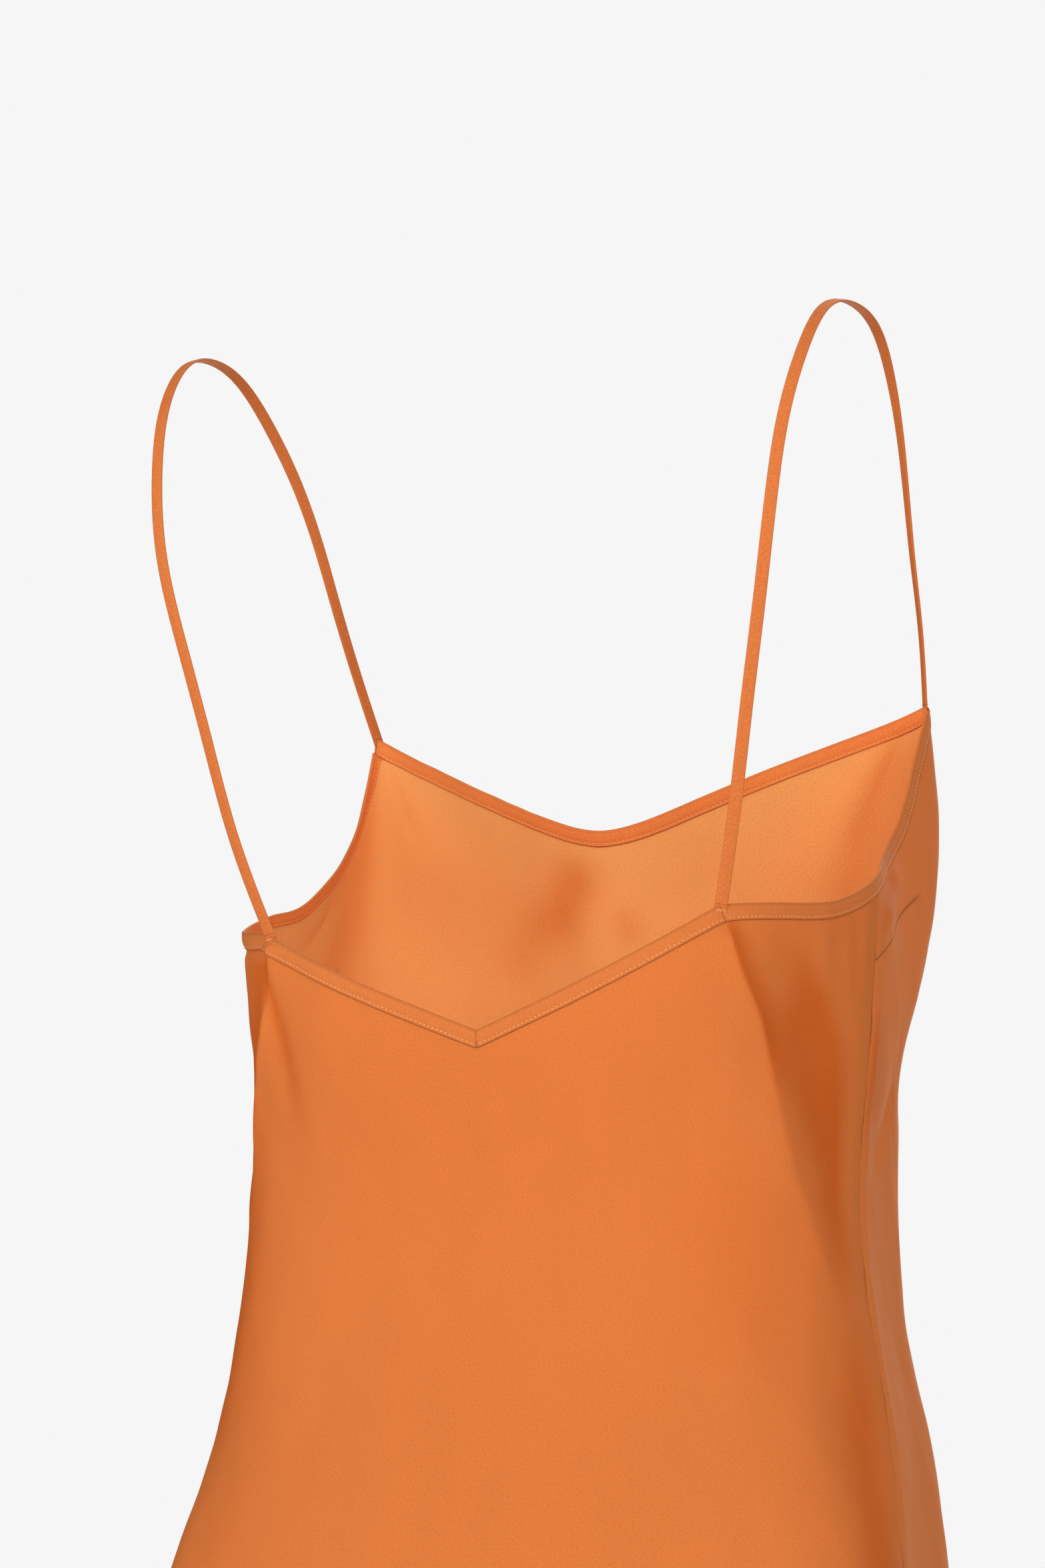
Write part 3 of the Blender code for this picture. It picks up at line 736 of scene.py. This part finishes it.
def roundCorner(before, after, reach):
    # the binding's lower edge, and a little of its top, turn the corner in a soft bend
    for along, across, share in (("girth", "height", 0.4), ("lowGirth", "lowHeight", 1)):
        girth = np.concatenate((before[along], after[along][1:]))
        height = np.concatenate((before[across], after[across][1:]))
        path = distances(np.column_stack((girth, height)))
        corner = len(before[along]) - 1
        near = smoothStep(1.6 - np.abs(path - path[corner]) / reach / share)
        for values, part in ((girth, along), (height, across)):
            ahead = np.interp(path + 0.7 * reach * share, path, values)
            behind = np.interp(path - 0.7 * reach * share, path, values)
            soft = values + near * (ahead / 4 + behind / 4 - values / 2)
            before[part], after[part] = soft[:corner + 1], soft[corner:]


def shorten(run, end, length):
    path = distances(run["point"])
    start, stop = (length, path[-1]) if end == 0 else (0, path[-1] - length)
    at = np.linspace(start, stop, len(path))
    return completeRun(np.interp(at, path, run["girth"]), np.interp(at, path, run["height"]))


def frontBindings():
    # The neck's binding runs on to the armhole's edge at each front strap point, and the armhole's
    # binding stops under it.
    neck = copied(edges["neck"])
    runs = {"neck": neck}
    for name, neckEnd, end in (("frontLeft", -1, 0), ("frontRight", 0, -1)):
        whole = copied(edges[name])
        down = whole["tangent"][end] * (1 if end == 0 else -1)
        along = neck["tangent"][neckEnd] * (1 if neckEnd == 0 else -1)
        slant = down @ neck["inward"][neckEnd]
        run = shorten(whole, end, (dress["bindingWidth"] - underlap) / slant)
        lean(run, end, along / (along @ run["inward"][end]), strapPointReach)
        lean(neck, neckEnd, down / slant, strapPointReach)
        runs[name] = run
    meetAtSeam(runs["frontLeft"], copied(edges["backLeft"]))
    meetAtSeam(copied(edges["backRight"]), runs["frontRight"])
    for run in runs.values():
        lowEdge(run)
    return runs


def joined(runs, part):
    return np.concatenate([run[part][0 if run is runs[0] else 1:] for run in runs])


def downFrom(runs, share):
    # girths and heights at a share of the way from the edge to the binding's lower edge
    girth, height = joined(runs, "girth"), joined(runs, "height")
    return (girth + (joined(runs, "lowGirth") - girth) * share,
            height + (joined(runs, "lowHeight") - height) * share)


edges = topEdge()
bindingEdges = frontBindings()
print("top edge laid out")


# ---- stitches ----
def lensMesh():
    # one stitch: a small lens of thread a unit long, that each row of stitches repeats
    lens = bmesh.new()
    bmesh.ops.create_uvsphere(lens, u_segments=6, v_segments=4, radius=0.5)
    return meshFrom("stitch", lens)


stitchLens = lensMesh()


def layStitches(name, spots, along, facing, stitch, material):
    # a lens for each spot, turned along the seam and flat on the cloth
    along = unitVectors(along)
    across = unitVectors(np.cross(facing, along))
    facing = np.cross(along, across)
    row = bmesh.new()
    for _ in spots:
        row.from_mesh(stitchLens)
    piece = finishPiece(name, row, [material])
    size = np.array((stitch["length"], stitch["width"], stitch["rise"]))
    lens = coordinates(stitchLens) * size
    frames = np.stack((along, across, facing), axis=1)
    points = spots[:, None] + np.einsum("vk,nkc->nvc", lens, frames)
    layUv(piece.data, np.tile(lens[:, :2], (len(spots), 1)))
    place(piece, points.reshape(-1, 3))
    return piece


def stitchRow(name, girth, height, lift, stitch, material):
    # evenly spaced stitches along a line on the cloth
    point, normal = onCloth(girth, height, lift)
    run = distances(point)
    reach = run[-1] - 2 * stitch["margin"]
    count = max(1, int(reach / stitch["pitch"]))
    at = stitch["margin"] + (np.arange(count) + 0.5) * reach / count
    spots, facing = interpolate(at, run, point), interpolate(at, run, normal)
    way = unitVectors(interpolate(at + 0.3 * mm, run, point) - spots)
    if "slant" in stitch:   # stitches that lean to and fro
        tilt = np.where(np.arange(count) % 2, stitch["slant"], -stitch["slant"])[:, None]
        way = way + tilt * np.cross(facing, way)
    return layStitches(name, spots, way, facing, stitch, material)


topstitch = {
    "pitch": 2.0 * mm, "length": 1.4 * mm, "width": 0.36 * mm, "rise": 0.26 * mm, "margin": 1 * mm,
}
tackStitch = topstitch | {"pitch": 1.0 * mm, "length": 0.62 * mm, "width": 0.3 * mm, "margin": 0.3 * mm}


# ---- front and back panels ----
panelShape = {
    "columns": 138, "rows": 210,
    "edgeColumns": 11, "edgeReach": 0.010,   # finer columns next to each side seam
    "rowCrowding": 1.35, "columnDrift": 3,
    "hemRadius": 0.9 * mm, "hemTurn": 9 * mm, "hemRows": (0, 3 * mm, 6 * mm), "hemArc": 7,
    "topInset": 0.6 * mm,
}
sideSeam = {
    # grooveShade is painted shade: a dark line painted along the seam's groove
    "sink": 0.7 * mm, "width": 0.9 * mm, "grooveShade": 0.45, "lineWidth": 0.5 * mm,
    "pucker": 0.2 * mm, "puckerReach": 5 * mm, "puckerWaves": 58,
    "allowance": 0.010, "allowanceThickness": 0.8 * mm, "allowanceRows": 240, "wave": 0.35 * mm,
    # rootShade is painted shade on the allowances where they meet the seam
    "waves": 23, "waveDrift": (0.6, 19), "clearance": 0.15 * mm, "rootShade": 0.25,
}
# The bust dart's stitched line, from the side seam up towards the bust.
dart = {
    "path": ((-0.002, -0.2725), (0.022, -0.2605), (0.042, -0.2505), (0.062, -0.2400), (0.078, -0.2320)),
    "leftLower": 0.011,
    "sink": 0.4 * mm, "width": 0.6 * mm, "lip": 0.16 * mm, "lipWidth": 4 * mm,
    # grooveShade is a painted shadow along the dart's stitched fold
    "grooveShade": 0.5, "lineWidth": 0.5 * mm,
}
fineCloth = {"reach": 6 * mm, "cuts": 3, "lively": 0.7}   # finer cells beside darts and sharp folds


def columnShares(girthWidth):
    # even columns, with finer ones next to the two side seams
    near = np.linspace(0, 1, panelShape["edgeColumns"] + 1)**1.8 * panelShape["edgeReach"] / girthWidth
    middle = np.linspace(near[-1], 1 - near[-1], panelShape["columns"] - 2 * panelShape["edgeColumns"] + 1)
    return np.concatenate((near[:-1], middle, 1 - near[-2::-1]))


def panelGrid(runs, seamGirths):
    start, end = seamGirths
    shares = columnShares(abs(end - start))
    girth, height = spread(*downFrom(runs, panelShape["topInset"] / dress["bindingWidth"]), shares)
    girth[0], girth[-1] = start, end
    hem = np.linspace(start, end, fine)
    foldHeight = dress["hem"] + panelShape["hemRadius"]
    hemGirth, _ = spread(hem, np.full(fine, foldHeight), shares)
    turned = panelShape["hemTurn"] + np.pi * panelShape["hemRadius"]
    arc = np.linspace(1, 0, panelShape["hemArc"], endpoint=False) * np.pi * panelShape["hemRadius"]
    below = foldHeight - np.concatenate((turned - np.array(panelShape["hemRows"]), arc))
    rise = 1 - (1 - np.linspace(0, 1, panelShape["rows"] + 1))**panelShape["rowCrowding"]
    drift = (rise**panelShape["columnDrift"])[:, None]
    girths = hemGirth + (girth - hemGirth) * drift
    heights = foldHeight + (height - foldHeight) * rise[:, None]
    girths = np.vstack((np.repeat(hemGirth[None], len(below), axis=0), girths))
    heights = np.vstack((np.repeat(below[:, None], len(shares), axis=1), heights))
    return girths, heights


def dartPath(side):
    drop = dart["leftLower"] if side == left else 0
    return tuple((girth, height - drop * (1 + 6 * girth)) for girth, height in dart["path"])


def nearDarts(girth, height, reach):
    # for each dart: the places near it, how far each is above its line, and how alive the dart is
    for side in (left, right):
        near, share, ahead = measureFrom(girth, height, dartPath(side), side, reach)
        yield near, ahead, smoothStep((1 - share) / 0.15)


def dartLift(girth, height):
    lift = np.zeros(len(girth))
    for near, above, live in nearDarts(girth, height, 5 * dart["lipWidth"]):
        groove = -dart["sink"] * bell(above, dart["width"])
        high = smoothStep(0.5 + above / dart["width"])
        lip = dart["lip"] * bell(above, dart["lipWidth"]) * (1.4 * high - 0.4)
        lift[near] += live * (groove + lip)
    return lift


def seamLift(gap, height):
    # the seam sinks in, and the cloth beside it puckers a little
    sunk = sideSeam["sink"] * bell(gap, sideSeam["width"])
    turns = sideSeam["puckerWaves"] * height + 0.7 * np.sin(2 * np.pi * 9 * height)
    pucker = sideSeam["pucker"] * np.exp(-gap / sideSeam["puckerReach"]) * np.sin(2 * np.pi * turns)
    return pucker - sunk


def makePanel(name, node, slot, runs, seamGirths, outside):
    girths, heights = panelGrid(runs, seamGirths)
    sheet = gridSheet(girths, heights)
    refine(sheet, node == "front_panel")
    piece = finishPiece(name, sheet, [outside, insideSatin], node, slot)
    girth, height = takePlaces(piece)
    radius = panelShape["hemRadius"]
    foldHeight = dress["hem"] + radius
    turned = np.clip(foldHeight - height, 0, None)
    angle = np.clip(turned / radius, 0, np.pi)
    past = np.clip(turned - np.pi * radius, 0, None)
    level = np.where(turned > 0, foldHeight - radius * np.sin(angle) + past, height)
    gap = np.abs(girth[:, None] - seamGirths).min(axis=1)
    lift = seamLift(gap, height) - radius * (1 - np.cos(angle))
    # painted shade: a dark line along the groove of each side seam
    shade = 1 - sideSeam["grooveShade"] * bell(gap, sideSeam["lineWidth"])
    if node == "front_panel":
        lift += dartLift(girth, height)
        # painted shadow: a dark line along the fold of each dart
        for near, above, live in nearDarts(girth, height, 4 * dart["lineWidth"]):
            shade[near] *= 1 - dart["grooveShade"] * live * bell(above, dart["lineWidth"])
    placeOnCloth(piece, girth, level, lift)
    layValues(piece.data, "shade", shade)
    # painted shade: the colour deepens where folds would shade themselves
    layValues(piece.data, "paintedShade", paintedShadeAmount(girth, level))
    thicken(piece, dress["cloth"])
    return piece


def refine(sheet, darted):
    verts = list(sheet.verts)
    girth = np.array([v.co.x for v in verts])
    height = np.array([v.co.y for v in verts])
    lines = [(fold["path"], fold["side"], fineCloth["lively"]) for fold in folds if fold["crest"]]
    if darted:
        lines += [(dartPath(side), side, 1) for side in (left, right)]
    near = np.zeros(len(verts), bool)
    for path, side, lively in lines:
        boxed, share, ahead = measureFrom(girth, height, path, side, 2 * fineCloth["reach"])
        near[boxed] |= (np.abs(ahead) < fineCloth["reach"]) & (share <= lively)
    chosen = {vert for vert, yes in zip(verts, near) if yes}
    bands = [edge for edge in sheet.edges if edge.verts[0] in chosen and edge.verts[1] in chosen]
    bmesh.ops.subdivide_edges(sheet, edges=bands, cuts=fineCloth["cuts"], use_grid_fill=True)
    loose = [face for face in sheet.faces if len(face.verts) > 4]
    bmesh.ops.triangulate(sheet, faces=loose)


frontRuns = [edges["frontRight"], edges["neck"], edges["frontLeft"]]
backRuns = [edges["backLeft"], edges["backNeckLeft"], edges["backNeckRight"], edges["backRight"]]
frontPanel = makePanel(
    "frontPanel", "front_panel", "front_satin", frontRuns, (rightSeam["front"], 0), frontOutsideSatin)
backPanel = makePanel(
    "backPanel", "back_panel", "back_satin", backRuns, (0, rightSeam["back"]), backOutsideSatin)
print("panels made")

# ---- stitching and seam allowances of the panels ----
hemStitch = topstitch | {"pitch": 2.3 * mm, "length": 1.7 * mm, "height": 7.6 * mm}
overlockStitch = topstitch | {"pitch": 1.7 * mm, "length": 3.0 * mm, "width": 0.26 * mm, "slant": 1.1}
dartStitch = topstitch | {"pitch": 2.1 * mm, "length": 1.35 * mm, "width": 0.3 * mm}


def stitchHem(name, start, end):
    girth = np.linspace(start, end, fine)
    height = np.full(fine, dress["hem"] + hemStitch["height"])
    inner = -2 * panelShape["hemRadius"] - dress["cloth"]
    return [stitchRow(name + word, girth, height, lift, hemStitch, seamThread)
            for word, lift in (("HemOuterStitches", 0), ("HemInnerStitches", inner))]


def stitchDart(name, side):
    girth, height = smoothPath(dartPath(side), np.linspace(0.02, 0.9, 60)).T
    if side == right:
        girth = rightSeam["front"] - girth
    return stitchRow(name, girth, height, -0.6 * dart["sink"], dartStitch, darkThread)


def makeAllowance(name, side, top):
    # both panels' allowances at a side seam, overlocked together and pressed towards the back
    start = 0 if side == left else rightSeam["front"]
    across = np.linspace(0, -side * sideSeam["allowance"], 6)
    down = np.linspace(dress["hem"] + 3 * mm, top, sideSeam["allowanceRows"])
    girths, heights = np.meshgrid(start + (across if side == left else across[::-1]), down)
    piece = finishPiece(name, gridSheet(girths, heights), [insideSatin], None, "back_satin")
    girth, height = takePlaces(piece)
    free = np.abs(girth - start) / sideSeam["allowance"]
    drift, rate = sideSeam["waveDrift"]
    turns = sideSeam["waves"] * height + drift * np.sin(rate * height)
    wave = sideSeam["wave"] * free * (1 + np.sin(2 * np.pi * turns))
    beneath = -dress["cloth"] - sideSeam["clearance"]
    placeOnCloth(piece, girth, height, seamLift(np.abs(girth - start), height) + beneath - wave)
    # painted shade: darker towards the allowance's root at the seam
    layValues(piece.data, "shade", 1 - sideSeam["rootShade"] * (1 - smoothStep(free * 4)))
    thicken(piece, sideSeam["allowanceThickness"])
    edge = np.full(fine, start - side * (sideSeam["allowance"] - 1.3 * mm))
    height = np.linspace(dress["hem"] + 4 * mm, top - 1 * mm, fine)
    lift = beneath - sideSeam["allowanceThickness"] - sideSeam["wave"]
    threads = stitchRow(name + "Overlock", edge, height, lift, overlockStitch, seamThread)


frontStitches = stitchHem("frontPanel", rightSeam["front"], 0)
frontStitches += [stitchDart("dartLeftStitches", left), stitchDart("dartRightStitches", right)]
backStitches = stitchHem("backPanel", 0, rightSeam["back"])
for name, side in (("sideSeamLeft", left), ("sideSeamRight", right)):
    makeAllowance(name, side, armholeHeight(side)(np.zeros(1))[0] - dress["bindingWidth"] - 1 * mm)
print("panels stitched")


# ---- bindings ----
bindingShape = {
    "proud": 0.5 * mm,       # outer face above the panel's face
    "wall": 0.3 * mm,
    "topCentre": -0.4 * mm,  # centre of the rounded top, above the edge
    "stitchLine": 4.6 * mm,  # down from the edge
    "groove": 0.16 * mm, "grooveWidth": 0.5 * mm,
    "puff": 0.10 * mm, "edgeDip": 0.12 * mm, "dipReach": 0.25 * mm,
    "cut": 14.6 * mm, "armholeCut": 12.9 * mm,   # width of the strip that shows, inside and out
    "armholeInner": 0.72,    # the armholes' inner leg is narrower than the outer one by this
    # edgeShadow is a painted shadow along the binding's lower edge, topShade painted shade on its rolled
    # top, and innerPaintedLight painted light on its inner leg
    "edgeShadow": 0.42, "edgeShadowWidth": 0.34 * mm, "topShade": 0.14, "innerPaintedLight": 1.28,
}


def bindingProfile():
    # pairs of distance below the edge and lift, from the outer leg's edge over the top and back down
    look = bindingShape
    legs = np.array((6.0, 5.8, 5.4, 5.0, 4.7, 4.4, 4.0, 3.3, 2.4, 1.4, 0.5)) * mm
    lift = look["proud"] - look["groove"] * bell(legs - look["stitchLine"], look["grooveWidth"])
    lift += look["puff"] * np.sin(np.pi * np.clip(legs / look["stitchLine"], 0, 1))
    lift -= look["edgeDip"] * np.exp(-(legs[0] - legs) / look["dipReach"])
    middle = -dress["cloth"] / 2
    radius = look["proud"] - middle
    turn = np.linspace(0, np.pi, 9)
    topDown = look["topCentre"] - radius * np.sin(turn)
    topLift = middle + radius * np.cos(turn)
    down = np.concatenate((legs, topDown, legs[::-1]))
    return down, np.concatenate((lift, topLift, 2 * middle - lift[::-1]))


def makeBinding(name, node, slot, runs, panel, length, inner):
    down, lift = bindingProfile()
    within = (np.arange(len(down)) > len(down) // 2) & (down > 0)
    down = np.where(within, inner * down, down)
    share = down[:, None] / dress["bindingWidth"]
    share = np.where(share < 0, share / joined(runs, "reach"), share)   # a mitre stops at the edge
    girths, heights = downFrom(runs, share)
    sheet, row, column = emptyGrid(*girths.shape)
    piece = finishPiece(name, sheet, [bindingSatin], node, slot)
    along, across = distances(joined(runs, "point")), distances(np.column_stack((down, lift)))
    layUv(piece.data, np.column_stack((along[column], across[row])))
    placeOnCloth(piece, girths[row, column], heights[row, column], lift[row])
    # painted shadow along the binding's lower edge
    shade = 1 - bindingShape["edgeShadow"] * bell(down - down[0], bindingShape["edgeShadowWidth"])
    # painted shade on the binding's rolled top
    shade = np.where(down < 0, 1 - bindingShape["topShade"], shade)
    # painted light on the binding's inner leg, which faces the inside of the dress
    shade[len(down) // 2:] *= bindingShape["innerPaintedLight"]
    layValues(piece.data, "shade", shade[row])
    thicken(piece, bindingShape["wall"])
    stitches = stitchAlong(name, runs, inner)


def stitchAlong(name, runs, inner):
    share = bindingShape["stitchLine"] / dress["bindingWidth"]
    rise = bindingShape["proud"] - bindingShape["groove"] + 0.05 * mm
    rows = (("OuterStitches", share, rise), ("InnerStitches", share * inner, -dress["cloth"] - rise))
    return [stitchRow(name + word, *downFrom(runs, part), lift, topstitch, thread)
            for word, part, lift in rows]


armholeInner = bindingShape["armholeInner"]
for binding in (
        ("frontNeckBinding", "front_neck_binding", "front_neck_binding_satin",
         [bindingEdges["neck"]], frontPanel, 0.345, 1),
        ("backNeckBindingLeft", "back_neck_binding_left", "back_neck_binding_satin",
         [edges["backNeckLeft"]], backPanel, 0.118, 1),
        ("backNeckBindingRight", "back_neck_binding_right", "back_neck_binding_satin",
         [edges["backNeckRight"]], backPanel, 0.118, 1),
        ("armholeBindingLeft", "armhole_binding_left", "armhole_binding_satin",
         [bindingEdges["frontLeft"], edges["backLeft"]], frontPanel, 0.262, armholeInner),
        ("armholeBindingRight", "armhole_binding_right", "armhole_binding_satin",
         [edges["backRight"], bindingEdges["frontRight"]], frontPanel, 0.262, armholeInner)):
    makeBinding(*binding)


def stitchMitre():
    # dark stitches close the mitre at the point of the back neck
    run = edges["backNeckLeft"]
    height = np.linspace(run["height"][-1], run["lowHeight"][-1], 12)
    girth = np.full(12, run["girth"][-1])
    for name, lift in (("mitreOuterStitches", bindingShape["proud"]),
                       ("mitreInnerStitches", -bindingShape["proud"] - dress["cloth"])):
        stitchRow(name, girth, height, lift, tackStitch, darkThread)


stitchMitre()
print("bindings made")

# ---- straps ----
# From the back end over the shoulder to the front end: x, y, z in millimetres, then the way that
# the strap's outer face looks. The left strap is as given and the right one is its mirror image.
strapRoute = (
    (111.5, 87, -216, 0.30, 0.95, -0.2),
    (119.5, 95.5, -178, 0.28, 0.95, -0.2),
    (127.7, 103.5, -139, 0.25, 0.96, -0.1),
    (135, 110, -100, 0.22, 0.97, 0.0),
    (139.5, 105.5, -62, 0.20, 0.90, 0.35),
    (142.8, 92, -33, 0.18, 0.70, 0.65),
    (144.6, 66, -8, 0.16, 0.35, 0.90),
    (145.6, 36, 0, 0.15, 0.0, 1.0),
    (145.8, 5, -3, 0.18, -0.3, 0.93),
    (143.6, -23, -19, 0.42, -0.62, 0.66),
    (140.8, -43.5, -38, 0.60, -0.66, 0.45),
    (138, -60.5, -61, 0.70, -0.62, 0.32),
    (135.6, -76, -87, 0.76, -0.60, 0.25),
    (133, -94.5, -116, 0.80, -0.56, 0.20),
)
strapShape = {
    "width": 5.4 * mm, "thickness": 1.15 * mm, "wall": 0.3 * mm, "segments": 260, "around": 20,
    "squareness": 0.45, "stitchInset": 1.0 * mm, "tuck": 1.6 * mm, "taper": 0.14,
    "frontInset": 0.9 * mm, "backInset": {left: 2.2 * mm, right: 0},
    "cut": 0.0125,   # all the way round
}
strapStitch = topstitch | {"pitch": 2.2 * mm, "length": 1.3 * mm, "width": 0.28 * mm, "margin": 5 * mm}
barTack = topstitch | {"pitch": 0.5 * mm, "length": 1.1 * mm, "width": 0.34 * mm, "margin": 0, "slant": 4}


def strapPath(side, ends):
    # centre line, its width direction, its outer face, and how far along each place lies
    middle = -dress["cloth"] / 2
    back, front = (onCloth([girth], [height], middle)[0][0] for girth, height in ends)
    table = np.array(strapRoute, float)
    path = np.vstack((back, table[:, :3] * mm * (side, 1, 1), front))
    face = table[[0, *range(len(table)), -1], 3:] * (side, 1, 1)
    run = distances(path)
    at = np.linspace(-strapShape["tuck"], run[-1] + strapShape["tuck"], strapShape["segments"] + 1)
    weights = splineWeights(run, at)
    centre, face = weights @ path, weights @ face
    along = unitVectors(np.gradient(centre, axis=0))
    across = unitVectors(np.cross(along, face))
    return {"centre": centre, "along": along, "across": across, "face": np.cross(across, along), "at": at}


def onStrap(route, at, aside, out):
    # places and directions on a strap, aside from its centre line and out from its middle
    here = {part: interpolate(at, route["at"], route[part])
            for part in ("centre", "along", "across", "face")}
    spots = here["centre"] + here["across"] * np.reshape(aside, (-1, 1)) + here["face"] * out
    return spots, here


def stitchStrap(name, side, route, length):
    # one row near the edge towards the middle of the body, and a dark tack across each end
    stitches = []
    count = int((length - 2 * strapStitch["margin"]) / strapStitch["pitch"])
    at = strapStitch["margin"] + np.arange(count) * strapStitch["pitch"]
    narrow = 1 - strapShape["taper"] * (at / length)**2
    aside = side * (narrow * strapShape["width"] / 2 - strapShape["stitchInset"])
    ends = ((1.5 * mm, 0), (length - 1.4 * mm, 0.35))   # where each tack lies, and its slant
    tacks = np.linspace(-0.36, 0.36, 5) * strapShape["width"]
    for face, out in (("Outer", strapShape["thickness"] / 2), ("Inner", -strapShape["thickness"] / 2)):
        spots, here = onStrap(route, at, aside, out * 0.95)
        stitches.append(layStitches(
            name + face + "Stitches", spots, here["along"], here["face"], strapStitch, seamThread))
        for end, (start, slant) in zip(("Back", "Front"), ends):
            spots, here = onStrap(route, start + slant * side * tacks, tacks, out)
            stitches.append(layStitches(
                name + end + face + "Tack", spots, here["across"] + slant * side * here["along"],
                here["face"], tackStitch, darkThread))
    return stitches


def tackBackEnd(name, girth, height):
    # a pale bar tack holds the strap end inside the binding
    wide = 0.42 * strapShape["width"]
    return stitchRow(name, np.linspace(girth - wide, girth + wide, 10), np.full(10, height - 1.3 * mm),
                     bindingShape["proud"] + 0.1 * mm, barTack, thread)


def makeStrap(name, node, side, backRun, backEnd, neckEnd):
    ends = []
    for run, end, inset in ((backRun, backEnd, strapShape["backInset"][side]),
                            (bindingEdges["neck"], neckEnd, strapShape["frontInset"])):
        short = shorten(run, end, inset)
        ends.append((short["girth"][end], short["height"][end]))
    route = strapPath(side, ends)
    around, steps = strapShape["around"], strapShape["segments"]
    tube, row, column = emptyGrid(around + 1, steps + 1)
    turn = 2 * np.pi * row / around
    wide, thick = np.cos(turn), np.sin(turn)
    wide = np.copysign(np.abs(wide)**strapShape["squareness"], wide)
    thick = np.copysign(np.abs(thick)**(1.4 * strapShape["squareness"]), thick)
    aside = wide * (1 - strapShape["taper"] * (column / steps)**2) * strapShape["width"] / 2
    out = thick * strapShape["thickness"] / 2
    piece = finishPiece(name, tube, [strapSatin], node, "strap_satin")
    layUv(piece.data, np.column_stack((route["at"][column], row / around * strapShape["cut"])))
    place(piece, route["centre"][column] + route["across"][column] * aside[:, None]
          + route["face"][column] * out[:, None])
    closing = piece.modifiers.new("closing", "WELD")
    closing.merge_threshold = 0.02 * mm
    thicken(piece, strapShape["wall"])
    length = route["at"][-1] - strapShape["tuck"]
    stitches = stitchStrap(name, side, route, length)
    stitches.append(tackBackEnd(name + "BarTack", *ends[0]))


makeStrap("strapLeft", "strap_left", left, edges["backNeckLeft"], 0, -1)
makeStrap("strapRight", "strap_right", right, edges["backNeckRight"], -1, 0)
print("straps made")

# ---- floor, light and camera ----
studio = {
    "floor": dress["hem"] - 0.05,
    "floorColour": (0.86, 0.865, 0.865), "floorShade": (0.16, 0.16, 0.16), "floorGlow": (0.74, 0.74, 0.74),
    "background": (0.921, 0.921, 0.921),
    "ambient": 0.03,
    "aim": (0, 0, -0.35),
    "lightColour": (1.0, 0.985, 0.94),
    "softboxDistance": 3.0, "softboxSize": 2.2,
    "softboxes": {   # azimuth and elevation in degrees, power in watts
        "farLeft": (125, 15, 28), "keyLeft": (160, 20, 37), "keyMiddle": (190, 30, 16),
        "keyRight": (225, 15, 58), "backTop": (340, 45, 32), "lowFront": (10, -10, 24),
        "highFront": (5, 35, 20),
    },
    "cameraPlace": (-0.903, 2.332, -0.606), "cameraTurn": (99.475, 0, 201.50), "lens": 136.75,
}


def makeFloor():
    floor = bmesh.new()
    bmesh.ops.create_grid(floor, x_segments=1, y_segments=1, size=15)
    bmesh.ops.translate(floor, verts=floor.verts, vec=(0, 0, studio["floor"]))
    piece = addObject("floor", meshFrom("floor", floor))
    material = bpy.data.materials.new("paleFloor")
    material.use_nodes = True
    tree = material.node_tree
    matt = {"Roughness": 0.8, "Specular IOR Level": 0.1}
    lit = tree.nodes["Principled BSDF"]
    setInputs(lit, matt | {"Base Color": (*studio["floorColour"], 1)})
    seen = addNode(tree, "ShaderNodeBsdfPrincipled", (0, -500), matt | {
        "Base Color": (*studio["floorShade"], 1), "Emission Color": (*studio["floorGlow"], 1),
        "Emission Strength": 1})
    mixSeen(tree, lit, seen, "Material Output")
    piece.data.materials.append(material)


def mixSeen(tree, lit, seen, output):
    # what lights the dress can differ from what is seen, so that the studio looks pale all over
    path = addNode(tree, "ShaderNodeLightPath", (300, 400))
    mix = addNode(tree, "ShaderNodeMixShader", (600, 0), {
        "Fac": path.outputs["Is Camera Ray"], 1: lit.outputs[0], 2: seen.outputs[0]})
    setInputs(tree.nodes[output], {"Surface": mix.outputs[0]})


def makeWorld():
    world = bpy.data.worlds.new("studio")
    scene.world = world
    world.use_nodes = True
    tree = world.node_tree
    seen = tree.nodes["Background"]
    setInputs(seen, {"Color": (*studio["background"], 1), "Strength": 1})
    lit = addNode(tree, "ShaderNodeBackground", (0, -200), {
        "Color": (1, 1, 1, 1), "Strength": studio["ambient"]})
    mixSeen(tree, lit, seen, "World Output")


def makeSoftbox(name, azimuth, elevation, power):
    light = bpy.data.lights.new(name, "AREA")
    light.size = studio["softboxSize"]
    light.color = studio["lightColour"]
    light.energy = power
    lamp = addObject(name, light)
    lamp.visible_camera = False
    a, e = math.radians(azimuth), math.radians(elevation)
    way = Vector((math.sin(a) * math.cos(e), -math.cos(a) * math.cos(e), math.sin(e)))
    lamp.location = Vector(studio["aim"]) + way * studio["softboxDistance"]
    lamp.rotation_euler = way.to_track_quat("Z", "Y").to_euler()


def makeCamera():
    camera = bpy.data.cameras.new("camera")
    camera.lens = studio["lens"]
    camera.clip_end = 60
    scene.camera = addObject("camera", camera)
    scene.camera.location = studio["cameraPlace"]
    scene.camera.rotation_euler = [math.radians(angle) for angle in studio["cameraTurn"]]


makeFloor()
makeWorld()
for name, box in studio["softboxes"].items():
    makeSoftbox(name, *box)
makeCamera()
scene.view_settings.view_transform = "Standard"
print("studio made")
